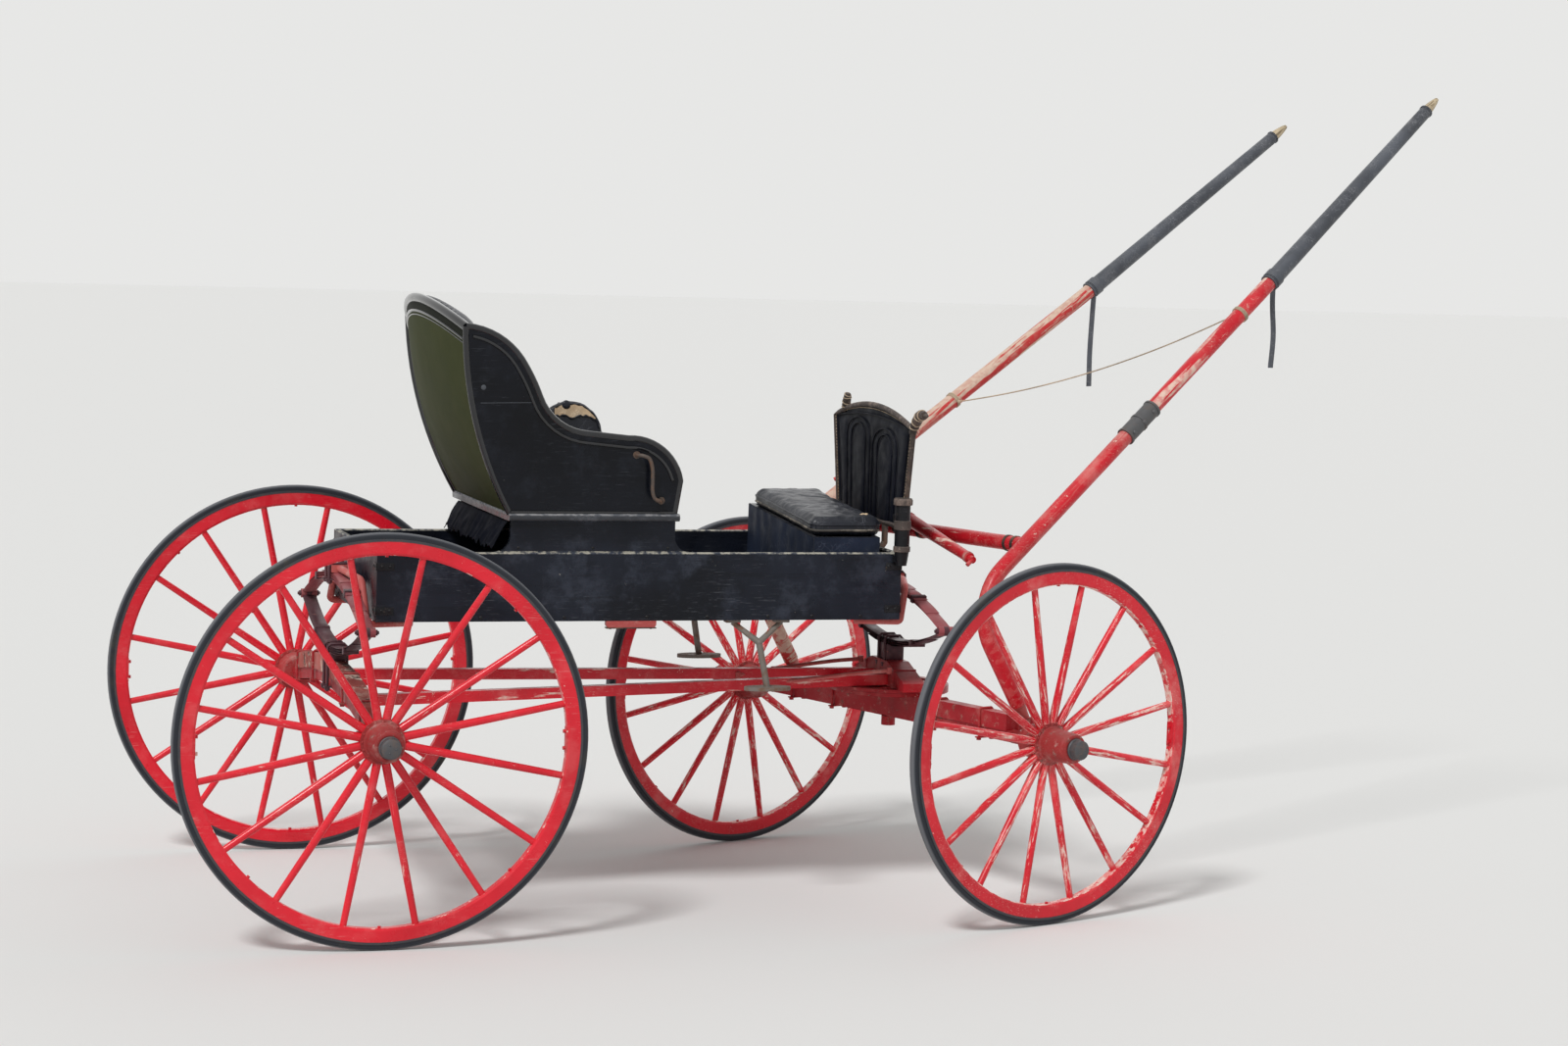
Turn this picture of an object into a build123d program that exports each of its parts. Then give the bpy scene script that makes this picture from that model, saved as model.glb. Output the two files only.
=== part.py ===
from build123d import *
from math import cos, pi, radians, sin, sqrt
import os

# A light four-wheeled driving buggy with a shallow box body, one high-backed seat,
# transverse full elliptic springs, a fifth wheel and a pair of raised shafts.
# Millimetres, +X forward, +Y to the vehicle's left, +Z up.
# Pieces are laid out with X = 0 over the rear axle, and move() sets the part's origin.

# Driving dimensions
WHEELBASE = 1606
TRACK = 1422  # between the middles of the left and right tyres
REAR_WHEEL_R = 538
FRONT_WHEEL_R = 496
STEER = 20  # degrees that the front axle is turned to the left
LIFT = 36.5  # degrees that the shafts are raised
SOFT_GAP = 0.4  # clearance round leather and stuffing
BEARING_GAP = 0.05  # radial clearance of pins, bolt and axle arms
END_GAP = 1  # side clearance of hubs, shaft eyes and singletree

# Body box
BODY_BACK = 47
BODY_SETBACK = 91  # front panel behind the front axle
BODY_WIDTH = 660
BODY_BOTTOM = 799
BODY_HEIGHT = 186
PANEL = 16  # side and end panels
FLOOR = 18
PANEL_ROUND = 5
BODY_FRONT = WHEELBASE - BODY_SETBACK
BODY_TOP = BODY_BOTTOM + BODY_HEIGHT
BODY_HALF = BODY_WIDTH / 2
FLOOR_TOP = BODY_BOTTOM + FLOOR

# Seat
RISER_BACK = 407
RISER_FRONT = 864
RISER_TOE = 42
RISER_BOARD = 14
RISER_TOP = BODY_TOP + 88
SEAT_BOARD = 20
SEAT_LIP = 14  # board ahead of the riser at the back
SEAT_HALF = 372  # half width of the seat board
SEAT_FOOT = 14  # side panels set in from the edge of the board
SEAT_SHELL = 14  # side and back panels
SEAT_FLARE = 5  # degrees that the side panels lean out
SEAT_BOW = 55  # how far the back bulges to the rear in the middle
SEAT_CROWN = 62  # how far its top rises in the middle
BACK_LINE = ((397, 0), (312, 190), (258, 500))  # X and rise of the back's outside at a side
SIDE_ARCS = (  # middle and end of each arc down a side panel's top edge, X and rise
    ((346, 474), (412, 415)),
    ((444, 362), (466, 315)),
    ((514, 250), (604, 216)),
)
ARM_REST = (715, 205)  # where the armrest's straight edge ends
ARM_NOSE = ((822, 166), (864, 92))  # middle and end of the arc that rounds the armrest off
SIDE_TOE = 12  # side panel's foot behind the end of its nose
SEAT_TOP = RISER_TOP + SEAT_BOARD
SEAT_INNER = SEAT_HALF - SEAT_FOOT - SEAT_SHELL
CUSHION = 104
CUSHION_ROUND = 18
BACK_PAD = 58
BACK_ROLL = 1.03  # the back pad's height to the shell's
BACK_GAP = 2
ARM_PAD = 30
ARM_PAD_BACK = ((0, 304), (60, 274), (560, 220))  # X and rise of its rear edge, the first two from the back pad
ARM_PAD_REST = (790, 180)
ARM_PAD_PUFF = ((640, 215), (734, 264), (826, 165))  # the left pad has burst and stands up here
ARM_PAD_NOSE = (826, 134)
ARM_PAD_ROUND = 8

CURTAIN = 7
CURTAIN_SWING = 47  # how far its foot hangs to the rear
GRAB_ROUTE = (  # X, stand-off from the side panel, and rise
    (738, 0, 160), (738, 24, 160), (772, 26, 132), (782, 26, 66), (812, 24, 38), (812, 0, 38),
)
GRAB_BENDS = (8, 14, 14, 8)
GRAB_R = 5.5

# Running gear
AXLE_BAR = 30
AXLE_ARM_R = 14
BED_WIDTH = 40
BED_HEIGHT = 46
BED_HALF = 540
AXLE_HALF = 560
REAR_ARCH = 58  # rise of the rear axle in the middle
SPRING_HALF = 457
LEAF_WIDTH = 38
LEAF = 6
LEAF_HALVES = (457, 350, 250, 150)
EYE_R = 13
SADDLE_HALF = 37
REAR_SADDLE = 18
FRONT_SADDLE = 41
REAR_SPRING_HEIGHT = 225
FRONT_SPRING_HEIGHT = 189
LOOP_R = 10
LOOP_OUT = (0.3, 0.6, 0.87, 0.79)  # its corners out from the middle, over half the body's width
LOOP_BENDS = (90, 40, 12)
LOOP_REACH = 110  # its foot under the body
RING_R = 170
RING_BAR = 26
RING_PLATE = 10
RING_GAP = 0.5
KING_R = 10
HEAD_HEIGHT = 68
HEAD_HALF = 215
HEAD_DEPTH = 64
REACH_WIDTH = 28
REACH_HEIGHT = 30
REACH_REAR_Y = 260
REACH_FRONT_Y = 62

# Heights that follow from the running gear
REAR_BAR_TOP = REAR_WHEEL_R + AXLE_BAR / 2 + REAR_ARCH
REAR_SPRING_BOTTOM = REAR_BAR_TOP + BED_HEIGHT + REAR_SADDLE
REAR_SPRING_TOP = REAR_SPRING_BOTTOM + REAR_SPRING_HEIGHT
FRONT_BED_TOP = FRONT_WHEEL_R + AXLE_BAR / 2 + BED_HEIGHT
UPPER_RING = FRONT_BED_TOP + RING_PLATE + RING_GAP
HEAD_BOTTOM = UPPER_RING + RING_PLATE
HEAD_TOP = HEAD_BOTTOM + HEAD_HEIGHT
FRONT_SPRING_BOTTOM = HEAD_TOP + FRONT_SADDLE
FRONT_SPRING_TOP = FRONT_SPRING_BOTTOM + FRONT_SPRING_HEIGHT

# Wheels
SPOKES = 16
SPOKE_R = 11.5
SPOKE_TIP_R = 9
TYRE_DEPTH = 20
TYRE_WIDTH = 26
FELLOE_DEPTH = 38
FELLOE_WIDTH = 28
FLANGE_R = 58
FLANGE_HALF = 14
FLANGE_IN = -17  # hub flanges sit inboard of the rim, which dishes the wheel
HUB_IN = -95
HUB_OUT = 92
HUB_R = 46
COLLAR_R = 19
NUT_R = 25
NUT_LENGTH = 26

# Shafts, in a frame of their own: s along them, u to the left, h above the coupling pins
PIVOT_AHEAD = 70
PIVOT_RISE = 31
PIVOT_Z = FRONT_WHEEL_R + PIVOT_RISE
PIN_R = 8
HEEL_U = 520
HEEL_IRON = 60
HEEL_BACK = 34
EYE_WIDTH = 34
EYE_OUT_R = 17
EAR = 8
SHAFT_R = 22
SHAFT_TIP_R = 15
SHAFT_POINT = 55
SHAFT_DROOP = 100  # the left shaft has sagged
COVER_S = 1490
COVER_END_S = 2390
COVER_U = 414
COVER = 3.5
TIP_S = 2450
TIP_U = 350
SLEEVE_S = 810
SLEEVE_LENGTH = 130
SLEEVE = 2
BAR_S = 285
BAR_R = 21
BAR_RISE = 33  # crossbar above the body's top, where it passes under the dash
TREE_HALF = 457
TREE_R = 17
TREE_BELLY = 3
TREE_TURN = -17  # degrees, right end towards the vehicle
TREE_PAD = 4

# Height of the shafts above their pins that brings the crossbar, once raised, under the dash
HEEL_H = (BODY_TOP + BAR_RISE - PIVOT_Z - BAR_S * sin(radians(LIFT))) / cos(radians(LIFT))
HEEL_TURN = 0.4 * HEEL_H  # radius of the bend at the heel

# Dash and front fittings
DASH_X = BODY_FRONT + 12
DASH_BAR = 10
DASH_BOTTOM = BODY_TOP + 60
DASH_SIDE = 280
DASH_ARCH = 55
DASH_HALF_LOW = 297
DASH_HALF_HIGH = 352
DASH_FOOT_Y = 130
DASH_FOOT_WIDTH = 26
DASH_FOOT = 90
EAR_ROD_R = 6
DASH_EARS = (  # Y and Z of the frame's upright ends, the right one bent outwards
    ((-346, DASH_BOTTOM + DASH_SIDE + 5), (-398, DASH_BOTTOM + 324), (-448, DASH_BOTTOM + 327)),
    ((262, DASH_BOTTOM + DASH_SIDE + 22), (240, DASH_BOTTOM + 345)),
)
SOCKET_X = BODY_FRONT - 9
SOCKET_R = 21
SOCKET_WALL = 6
SOCKET_COLLAR = 14
SOCKET_DEPTH = 150
SOCKET_GAP = 3
SOCKET_BOTTOM = BODY_TOP - 33
SOCKET_TOP = SOCKET_BOTTOM + 183
JUMP_BACK = BODY_FRONT - 258
JUMP_DEPTH = 222
JUMP_HALF = 296
JUMP_ROUND = 16
JUMP_ROLL = 3.5  # degrees, lower on the right
JUMP_BASE = BODY_TOP + 60
JUMP_THICK = 46
JUMP_TOE = 6  # box behind the pad's edge
JUMP_NOSE = 24
STEP_X = 1133
STEP_Y = BODY_HALF + 15
STEP_DROP = 191
STEP_LONG = 66
STEP_WIDE = 30
STEP_THICK = 10
STEP_R = 9
STEP_KNEE = (-24, 12, -61)  # where the stem forks, from the tread's middle and the body's bottom
STEP_FEET = (-94, 46)  # X of the fork's two feet from the tread's middle
STEP_PLATE = 8
STEP_PAD = (20, 16)  # half length and half width of a foot
RUB_X = 747
RUB_LENGTH = 140
RUB_BAR = 18

parts = {}


def group(shapes):
    """Separate solids under one name."""
    return Compound(children=[solid for shape in shapes for solid in shape.solids()])


def add(name, *shapes):
    """Keep the solids of a finished piece under its name."""
    parts[name] = group(shapes)


def block(x0, x1, y0, y1, z0, z1):
    """A box between opposite corners."""
    centre = Pos((x0 + x1) / 2, (y0 + y1) / 2, (z0 + z1) / 2)
    return centre * Box(x1 - x0, y1 - y0, z1 - z0)


def rod(a, b, r, r_end=None):
    """A round bar from point a to point b, tapered if r_end is given."""
    start = Vector(*a)
    run = Vector(*b) - start
    base = Plane(origin=start, z_dir=run)
    low = (Align.CENTER, Align.CENTER, Align.MIN)
    if r_end is None or r_end == r:
        return base * Cylinder(r, run.length, align=low)
    return base * Cone(r, r_end, run.length, align=low)


def bent_rod(points, radii, r):
    """A round bar along straight runs joined by arcs."""
    path = FilletPolyline(*points, radius=radii)
    start = Plane(origin=path @ 0, z_dir=path % 0)
    return sweep(start * Circle(r), path=path)


def side_plate(outline, y0, y1):
    """A plate from an outline of X and Z points and arcs, between two Y planes."""
    face = make_face(Plane.XZ * outline)
    return Pos(0, y1, 0) * extrude(face, amount=y1 - y0, dir=(0, -1, 0))


def front_plate(outline, x0, x1):
    """A plate from an outline of Y and Z points and arcs, between two X planes."""
    face = make_face(Plane.YZ * outline)
    return Pos(x0, 0, 0) * extrude(face, amount=x1 - x0, dir=(1, 0, 0))


def mirrored(shape):
    """The same piece on the other side of the vehicle."""
    return mirror(shape, about=Plane.XZ)


# Body: a shallow open box of boards, glued at the corners
def body():
    inner = BODY_HALF - PANEL
    add("floor_boards", block(BODY_BACK + PANEL, BODY_FRONT - PANEL, -inner, inner, BODY_BOTTOM, FLOOR_TOP))
    outside = block(BODY_BACK, BODY_FRONT, -BODY_HALF, BODY_HALF, BODY_BOTTOM, BODY_TOP)
    inside = block(BODY_BACK + PANEL, BODY_FRONT - PANEL, -inner, inner, BODY_BOTTOM - 1, BODY_TOP + 1)
    panels = outside - inside
    add("body_panels", fillet(panels.edges().group_by(Axis.Z)[-1], PANEL_ROUND))


# Seat riser: side boards with hollow toes that run out along the body, and a front board
def seat_riser():
    toe = RISER_TOE
    z0, z1 = BODY_TOP, RISER_TOP
    back, front = RISER_BACK, RISER_FRONT
    outline = Curve() + [
        Line((back - toe, z0), (front + toe, z0)),
        ThreePointArc((front + toe, z0), (front + 0.3 * toe, z0 + 0.3 * toe), (front, z0 + toe)),
        Line((front, z0 + toe), (front, z1)),
        Line((front, z1), (back, z1)),
        Line((back, z1), (back, z0 + toe)),
        ThreePointArc((back, z0 + toe), (back - 0.3 * toe, z0 + 0.3 * toe), (back - toe, z0)),
    ]
    outer = BODY_HALF - PANEL_ROUND
    inner = outer - RISER_BOARD
    side = side_plate(outline, -outer, -inner)
    board = block(front - RISER_BOARD, front, -inner, inner, FLOOR_TOP, z1)
    add("seat_riser", side + board + mirrored(side))


# Seat: board with a rounded moulding, flared side panels, and a bowed back between them
def on_seat(side, x, rise, inset=0.0):
    """A point of the leaning plane inside a side panel: side is -1 right, 1 left, 0 the middle."""
    lean = radians(SEAT_FLARE) * side
    up = Vector(0, sin(lean), cos(lean))
    plane = Plane(origin=(0, side * SEAT_INNER, SEAT_TOP), x_dir=(1, 0, 0), z_dir=Vector(1, 0, 0).cross(up))
    return plane.from_local_coords(Vector(x, rise, side * inset))


def back_x(rise):
    """X of the back's outside at a side panel."""
    arc = ThreePointArc(*BACK_LINE)
    centre = arc.arc_center
    return centre.X - sqrt(arc.radius ** 2 - (rise - centre.Y) ** 2)


def back_section(side, front, thick, inset=0.0, reach=1.0):
    """A closed section of the back, from front of its outside, thick deep, up to reach of its height."""
    bow = 0 if side else SEAT_BOW
    crown = 0 if side else SEAT_CROWN
    full = BACK_LINE[-1][1]

    def at(t, depth):
        t = t * reach
        return on_seat(side, back_x(full * t) - bow * sqrt(t) + depth, (full + crown) * t, inset)

    outer = ThreePointArc(at(0, front), at(0.5, front), at(1, front))
    inner = ThreePointArc(at(1, front + thick), at(0.5, front + thick), at(0, front + thick))
    return make_face(Curve() + [outer, Line(outer @ 1, inner @ 0), inner, Line(inner @ 1, outer @ 0)])


def seat_points(table):
    """X and Z of a table of X and rise above the seat board."""
    return [(x, SEAT_TOP + rise) for x, rise in table]


def seat_side_outline():
    """Side panel outline: raked back edge, S-shaped top edge and rounded arm front."""
    foot, waist, head = seat_points(BACK_LINE)
    edges = [ThreePointArc(foot, waist, head)]
    for arc in SIDE_ARCS:
        edges.append(ThreePointArc(edges[-1] @ 1, *seat_points(arc)))
    rest, middle, nose = seat_points((ARM_REST, *ARM_NOSE))
    toe = (nose[0] - SIDE_TOE, SEAT_TOP)
    edges += [Line(edges[-1] @ 1, rest), ThreePointArc(rest, middle, nose), Line(nose, toe), Line(toe, foot)]
    return Curve() + edges


def flared(shape):
    """Lean a piece drawn against an upright right-hand side panel out to the panel's angle."""
    hinge = Axis((0, -SEAT_INNER, SEAT_TOP), (1, 0, 0))
    return shape.rotate(hinge, SEAT_FLARE)


def seat():
    board = block(RISER_BACK - SEAT_LIP, RISER_FRONT, -SEAT_HALF, SEAT_HALF, RISER_TOP, SEAT_TOP)
    add("seat_board", fillet(board.edges().filter_by(Axis.X), SEAT_BOARD / 2 - 1))
    above = block(0, WHEELBASE, -WHEELBASE, WHEELBASE, SEAT_TOP, 3 * SEAT_TOP)
    side = flared(side_plate(seat_side_outline(), -SEAT_INNER - SEAT_SHELL, -SEAT_INNER)) & above
    add("seat_sides", side, mirrored(side))
    shell = loft([back_section(s, 0, SEAT_SHELL) for s in (-1, 0, 1)])
    add("seat_back", shell & above)


# Upholstery: plain closed forms that sit a little clear of the shell
def upholstery():
    reach = SEAT_INNER - SOFT_GAP
    back = BACK_LINE[0][0] + SEAT_SHELL + 4
    cushion = block(back, RISER_FRONT - 18, -reach, reach, SEAT_TOP + SOFT_GAP, SEAT_TOP + CUSHION)
    add("seat_cushion", fillet(cushion.edges(), CUSHION_ROUND))
    low = CUSHION + SOFT_GAP
    front = SEAT_SHELL + BACK_GAP
    pad = loft([back_section(s, front, BACK_PAD, SOFT_GAP, BACK_ROLL) for s in (-1, 0, 1)])
    above = block(0, WHEELBASE, -WHEELBASE, WHEELBASE, SEAT_TOP + low, 3 * SEAT_TOP)
    add("seat_back_pad", pad & above)
    right = arm_pad([Line(*seat_points((ARM_PAD_BACK[-1], ARM_PAD_REST)))])
    left_start, *puff = seat_points(ARM_PAD_PUFF)
    left = arm_pad([Line(*seat_points((ARM_PAD_BACK[-1], ARM_PAD_PUFF[0]))), ThreePointArc(left_start, *puff)])
    add("seat_arm_pads", right, mirrored(left))


def arm_pad(top):
    """A right-hand arm pad with the given run of top edges between its rear and its nose."""
    low = CUSHION + SOFT_GAP
    start = back_x(low) + SEAT_SHELL + BACK_GAP + BACK_PAD + 4
    rear, shoulder = ((start + ahead, rise) for ahead, rise in ARM_PAD_BACK[:2])
    foot, heel = (ARM_PAD_NOSE[0], low), (start, low)
    back = seat_points((heel, rear, shoulder, ARM_PAD_BACK[-1]))
    front = seat_points((ARM_PAD_NOSE, foot, heel))
    face = Polyline(*back), *top, Polyline(top[-1] @ 1, *front)
    plate = side_plate(Curve() + list(face), -SEAT_INNER + SOFT_GAP, -SEAT_INNER + ARM_PAD)
    return flared(fillet(plate.faces().sort_by(Axis.Y)[-1].edges(), ARM_PAD_ROUND))


# Torn leather curtain that hangs from the back edge of the seat board
def seat_curtain():
    top = RISER_TOP - SOFT_GAP
    low = BODY_TOP + 3
    x = RISER_BACK - SEAT_LIP + 3
    foot = x - CURTAIN_SWING
    flap = Polyline((foot, low), (x, top), (x + CURTAIN, top), (foot + CURTAIN, low), (foot, low))
    reach = BODY_HALF - PANEL_ROUND
    add("seat_curtain", side_plate(flap, -reach, reach))


# Grab handles: S-bent iron on the outside of each arm
def grab_handles():
    face = -SEAT_INNER - SEAT_SHELL
    points = [(x, face - stand, SEAT_TOP + rise) for x, stand, rise in GRAB_ROUTE]
    handle = flared(bent_rod(points, GRAB_BENDS, GRAB_R))
    add("grab_handles", handle, mirrored(handle))


# Child's seat across the body in front of the main seat: a board box with a stuffed pad
def jump_seat():
    x0, x1 = JUMP_BACK + JUMP_TOE, JUMP_BACK + JUMP_DEPTH - JUMP_NOSE
    half = BODY_HALF - PANEL - SOFT_GAP
    high = JUMP_BASE + BODY_HALF
    outer = block(x0, x1, -half, half, FLOOR_TOP, high)
    board = RISER_BOARD
    inner = block(x0 + board, x1 - board, -half + board, half - board, FLOOR_TOP - 1, high)
    tilt = Pos(0, 0, JUMP_BASE) * Rot(JUMP_ROLL, 0, 0)
    lid = tilt * block(0, 2 * WHEELBASE, -WHEELBASE, WHEELBASE, 0, WHEELBASE)
    add("jump_seat_box", outer - inner - lid)
    pad = block(JUMP_BACK, JUMP_BACK + JUMP_DEPTH, -JUMP_HALF, JUMP_HALF, SOFT_GAP, JUMP_THICK)
    pad = fillet(pad.edges(), JUMP_ROUND)
    add("jump_seat", tilt * pad)


# Dash: iron hoop on two feet, filled with stitched leather
def dash_outline(inset):
    low, high = DASH_HALF_LOW - inset, DASH_HALF_HIGH - inset
    bottom = DASH_BOTTOM + inset
    shoulder = DASH_BOTTOM + DASH_SIDE
    top = shoulder + DASH_ARCH - inset
    return Curve() + [
        Line((-low, bottom), (-high, shoulder)),
        ThreePointArc((-high, shoulder), (0, top), (high, shoulder)),
        Line((high, shoulder), (low, bottom)),
        Line((low, bottom), (-low, bottom)),
    ]


def dash():
    back, front = DASH_X, DASH_X + DASH_BAR
    frame = front_plate(dash_outline(0), back, front) - front_plate(dash_outline(DASH_BAR), back, front)
    face = BODY_FRONT + DASH_BAR - 2
    strap = Polyline((back, DASH_BOTTOM + 2), (front, DASH_BOTTOM + 2), (front, BODY_TOP + 8),
                     (face, BODY_TOP - 14), (face, BODY_TOP - DASH_FOOT), (BODY_FRONT, BODY_TOP - DASH_FOOT),
                     (BODY_FRONT, BODY_TOP - 10), (back, BODY_TOP + 12), (back, DASH_BOTTOM + 2))
    middle = (back + front) / 2
    ears = [rod((middle, *a), (middle, *b), EAR_ROD_R) + Pos(middle, *b) * Sphere(EAR_ROD_R)
            for route in DASH_EARS for a, b in zip(route, route[1:])]
    half = DASH_FOOT_WIDTH / 2
    foot = side_plate(strap, -DASH_FOOT_Y - half, -DASH_FOOT_Y + half)
    add("dash_frame", frame + ears + foot + mirrored(foot))
    add("dash_leather", front_plate(dash_outline(DASH_BAR + SOFT_GAP), back + 2, front - 2))


# Whip socket on the right of the dash, open at the top
def whip_socket():
    y = -(BODY_HALF + SOCKET_GAP + SOCKET_R)
    low, high = SOCKET_BOTTOM, SOCKET_TOP
    taper = 2 * SOCKET_R
    tube = rod((SOCKET_X, y, low + taper), (SOCKET_X, y, high), SOCKET_R)
    foot = rod((SOCKET_X, y, low), (SOCKET_X, y, low + taper), SOCKET_R - SOCKET_WALL, SOCKET_R)
    collar = rod((SOCKET_X, y, high - SOCKET_COLLAR), (SOCKET_X, y, high), SOCKET_R + SOCKET_WALL / 2)
    lug = block(SOCKET_X - 18, SOCKET_X + 6, y, -BODY_HALF, BODY_TOP - 24, BODY_TOP - 6)
    strap = block(SOCKET_X - 8, DASH_X, y, -DASH_HALF_LOW + 3, DASH_BOTTOM + 20, DASH_BOTTOM + 44)
    bore = rod((SOCKET_X, y, high - SOCKET_DEPTH), (SOCKET_X, y, high + 1), SOCKET_R - SOCKET_WALL)
    add("whip_socket", tube + foot + collar + lug + strap - bore)


# Steps: oval treads on bent stems that fork to the underside of the body
def steps():
    low = BODY_BOTTOM - STEP_DROP
    tread = Pos(STEP_X, -STEP_Y, low) * extrude(Ellipse(STEP_LONG, STEP_WIDE), amount=STEP_THICK)
    ahead, inward, drop = STEP_KNEE
    knee = (STEP_X + ahead, -STEP_Y + inward, BODY_BOTTOM + drop)
    iron = tread + rod((STEP_X, -STEP_Y, low + STEP_THICK / 2), knee, STEP_R) + Pos(*knee) * Sphere(STEP_R + 1)
    long, wide = STEP_PAD
    y = -BODY_HALF + wide + STEP_R + 1
    for x in (STEP_X + foot for foot in STEP_FEET):
        iron = iron + rod(knee, (x, y, BODY_BOTTOM - STEP_PLATE), STEP_R, STEP_R - 2)
        iron = iron + block(x - long, x + long, y - wide, y + wide, BODY_BOTTOM - STEP_PLATE, BODY_BOTTOM)
    add("steps", iron, mirrored(iron))


# Body loops: irons bent from each spring's top down under the corners of the body
def loop_arm(x_spring, x_body, top):
    """The right-hand arm of a body loop."""
    inward = 1 if x_body > x_spring else -1
    under = BODY_BOTTOM - LOOP_R
    span = abs(x_body - x_spring)
    half = BODY_HALF
    route = (
        (0, 0, top + LOOP_R),
        (4, LOOP_OUT[0] * half, top + LOOP_R),
        (LEAF_WIDTH / 2 + LOOP_R + 2, LOOP_OUT[1] * half, top - 3),
        (span - LOOP_R - 6, LOOP_OUT[2] * half, under),
        (span + LOOP_REACH, LOOP_OUT[3] * half, under),
    )
    points = [(x_spring + inward * ahead, -out, z) for ahead, out, z in route]
    return bent_rod(points, LOOP_BENDS, LOOP_R)


def body_loops():
    irons = []
    for x_spring, x_body, top in (
        (0, BODY_BACK, REAR_SPRING_TOP),
        (WHEELBASE, BODY_FRONT, FRONT_SPRING_TOP),
    ):
        half = LEAF_WIDTH / 2 + 3
        seat_iron = block(x_spring - half, x_spring + half, -SADDLE_HALF, SADDLE_HALF, top, top + 2 * LOOP_R)
        arm = loop_arm(x_spring, x_body, top)
        irons.append(seat_iron + arm + mirrored(arm))
    rub = block(RUB_X - RUB_LENGTH / 2, RUB_X + RUB_LENGTH / 2, -BODY_HALF, -BODY_HALF + RUB_BAR,
                BODY_BOTTOM - RUB_BAR, BODY_BOTTOM)
    rub = fillet(rub.edges().filter_by(Axis.Y).group_by(Axis.Z)[0], RUB_BAR / 2)
    add("body_loops", *irons, rub, mirrored(rub))


# Transverse full elliptic springs: stepped leaves, eyes at the ends, saddles below
def leaf(half, inner, sag, order, up):
    """Outline of one leaf of half the span, lying order leaves outside the main leaf."""
    r = (SPRING_HALF ** 2 + sag ** 2) / (2 * sag)
    centre = inner - up * r
    near = r + order * LEAF
    far = near + LEAF
    turn = half / r

    def at(radius, angle):
        return (radius * sin(angle), centre + up * radius * cos(angle))

    return Curve() + [
        ThreePointArc(at(near, -turn), at(near, 0), at(near, turn)),
        Line(at(near, turn), at(far, turn)),
        ThreePointArc(at(far, turn), at(far, 0), at(far, -turn)),
        Line(at(far, -turn), at(near, -turn)),
    ]


def elliptic(x, seat_z, bottom, top):
    """A spring with its middle leaves between bottom and top, and its saddle down to seat_z."""
    stack = LEAF * len(LEAF_HALVES)
    mid = (bottom + top) / 2
    wide = LEAF_WIDTH / 2
    spring = block(x - wide - 5, x + wide + 5, -SADDLE_HALF, SADDLE_HALF, seat_z, bottom + LEAF)
    for up, inner in ((1, top - stack), (-1, bottom + stack)):
        for order, half in enumerate(LEAF_HALVES):
            outline = leaf(half, inner, abs(inner - mid), order, up)
            spring = spring + front_plate(outline, x - wide, x + wide)
    for y in (-SPRING_HALF, SPRING_HALF):
        spring = spring + rod((x - wide - 3, y, mid), (x + wide + 3, y, mid), EYE_R)
    return spring


# Rear axle: arched iron with a wooden bed on top, and an arm at each end
def arch_drop(y):
    """How far the rear axle's arch has fallen at y from its middle."""
    r = (AXLE_HALF ** 2 + REAR_ARCH ** 2) / (2 * REAR_ARCH)
    return r - sqrt(r ** 2 - y ** 2)


def arched(half, top, height, width):
    """A bar along Y of the rear axle's arch, top being its upper face in the middle."""
    drop = arch_drop(half)
    bottom = top - height
    outline = Curve() + [
        ThreePointArc((-half, bottom - drop), (0, bottom), (half, bottom - drop)),
        Line((half, bottom - drop), (half, top - drop)),
        ThreePointArc((half, top - drop), (0, top), (-half, top - drop)),
        Line((-half, top - drop), (-half, bottom - drop)),
    ]
    return front_plate(outline, -width / 2, width / 2)


def axle_arm(z):
    """The right-hand end of an axle that carries the hub, with its collar and nut."""
    plane = TRACK / 2
    start = -AXLE_HALF + 10
    end = -plane - HUB_OUT - END_GAP
    arm = rod((0, start, z), (0, end, z), AXLE_ARM_R)
    collar = rod((0, start, z), (0, -plane - HUB_IN + END_GAP, z), COLLAR_R)
    nut = rod((0, end, z), (0, end - NUT_LENGTH, z), NUT_R)
    return arm + collar + nut


def rear_axle():
    arm = axle_arm(REAR_WHEEL_R)
    add("rear_axle", arched(AXLE_HALF, REAR_BAR_TOP, AXLE_BAR, AXLE_BAR) + arm + mirrored(arm))
    bed_top = REAR_BAR_TOP + BED_HEIGHT
    add("rear_axle_bed", arched(BED_HALF, bed_top, BED_HEIGHT, BED_WIDTH))
    add("rear_spring", elliptic(0, bed_top, REAR_SPRING_BOTTOM, REAR_SPRING_TOP))


# Front axle, built straight and turned about the king bolt by steered()
def steered(shape):
    """From a frame centred under the front axle to its turned place on the vehicle."""
    return Pos(WHEELBASE, 0, 0) * Rot(0, 0, STEER) * shape


def ring_plate(z):
    """One ring of the fifth wheel with its cross bar."""
    ring = Pos(0, 0, z) * extrude(Circle(RING_R) - Circle(RING_R - RING_BAR), amount=RING_PLATE)
    return ring + block(-RING_R + 5, RING_R - 5, -BED_WIDTH / 2, BED_WIDTH / 2, z, z + RING_PLATE)


def king_hole():
    """The bore for the king bolt."""
    return rod((0, 0, 0), (0, 0, 2 * HEAD_TOP), KING_R + BEARING_GAP)


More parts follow.
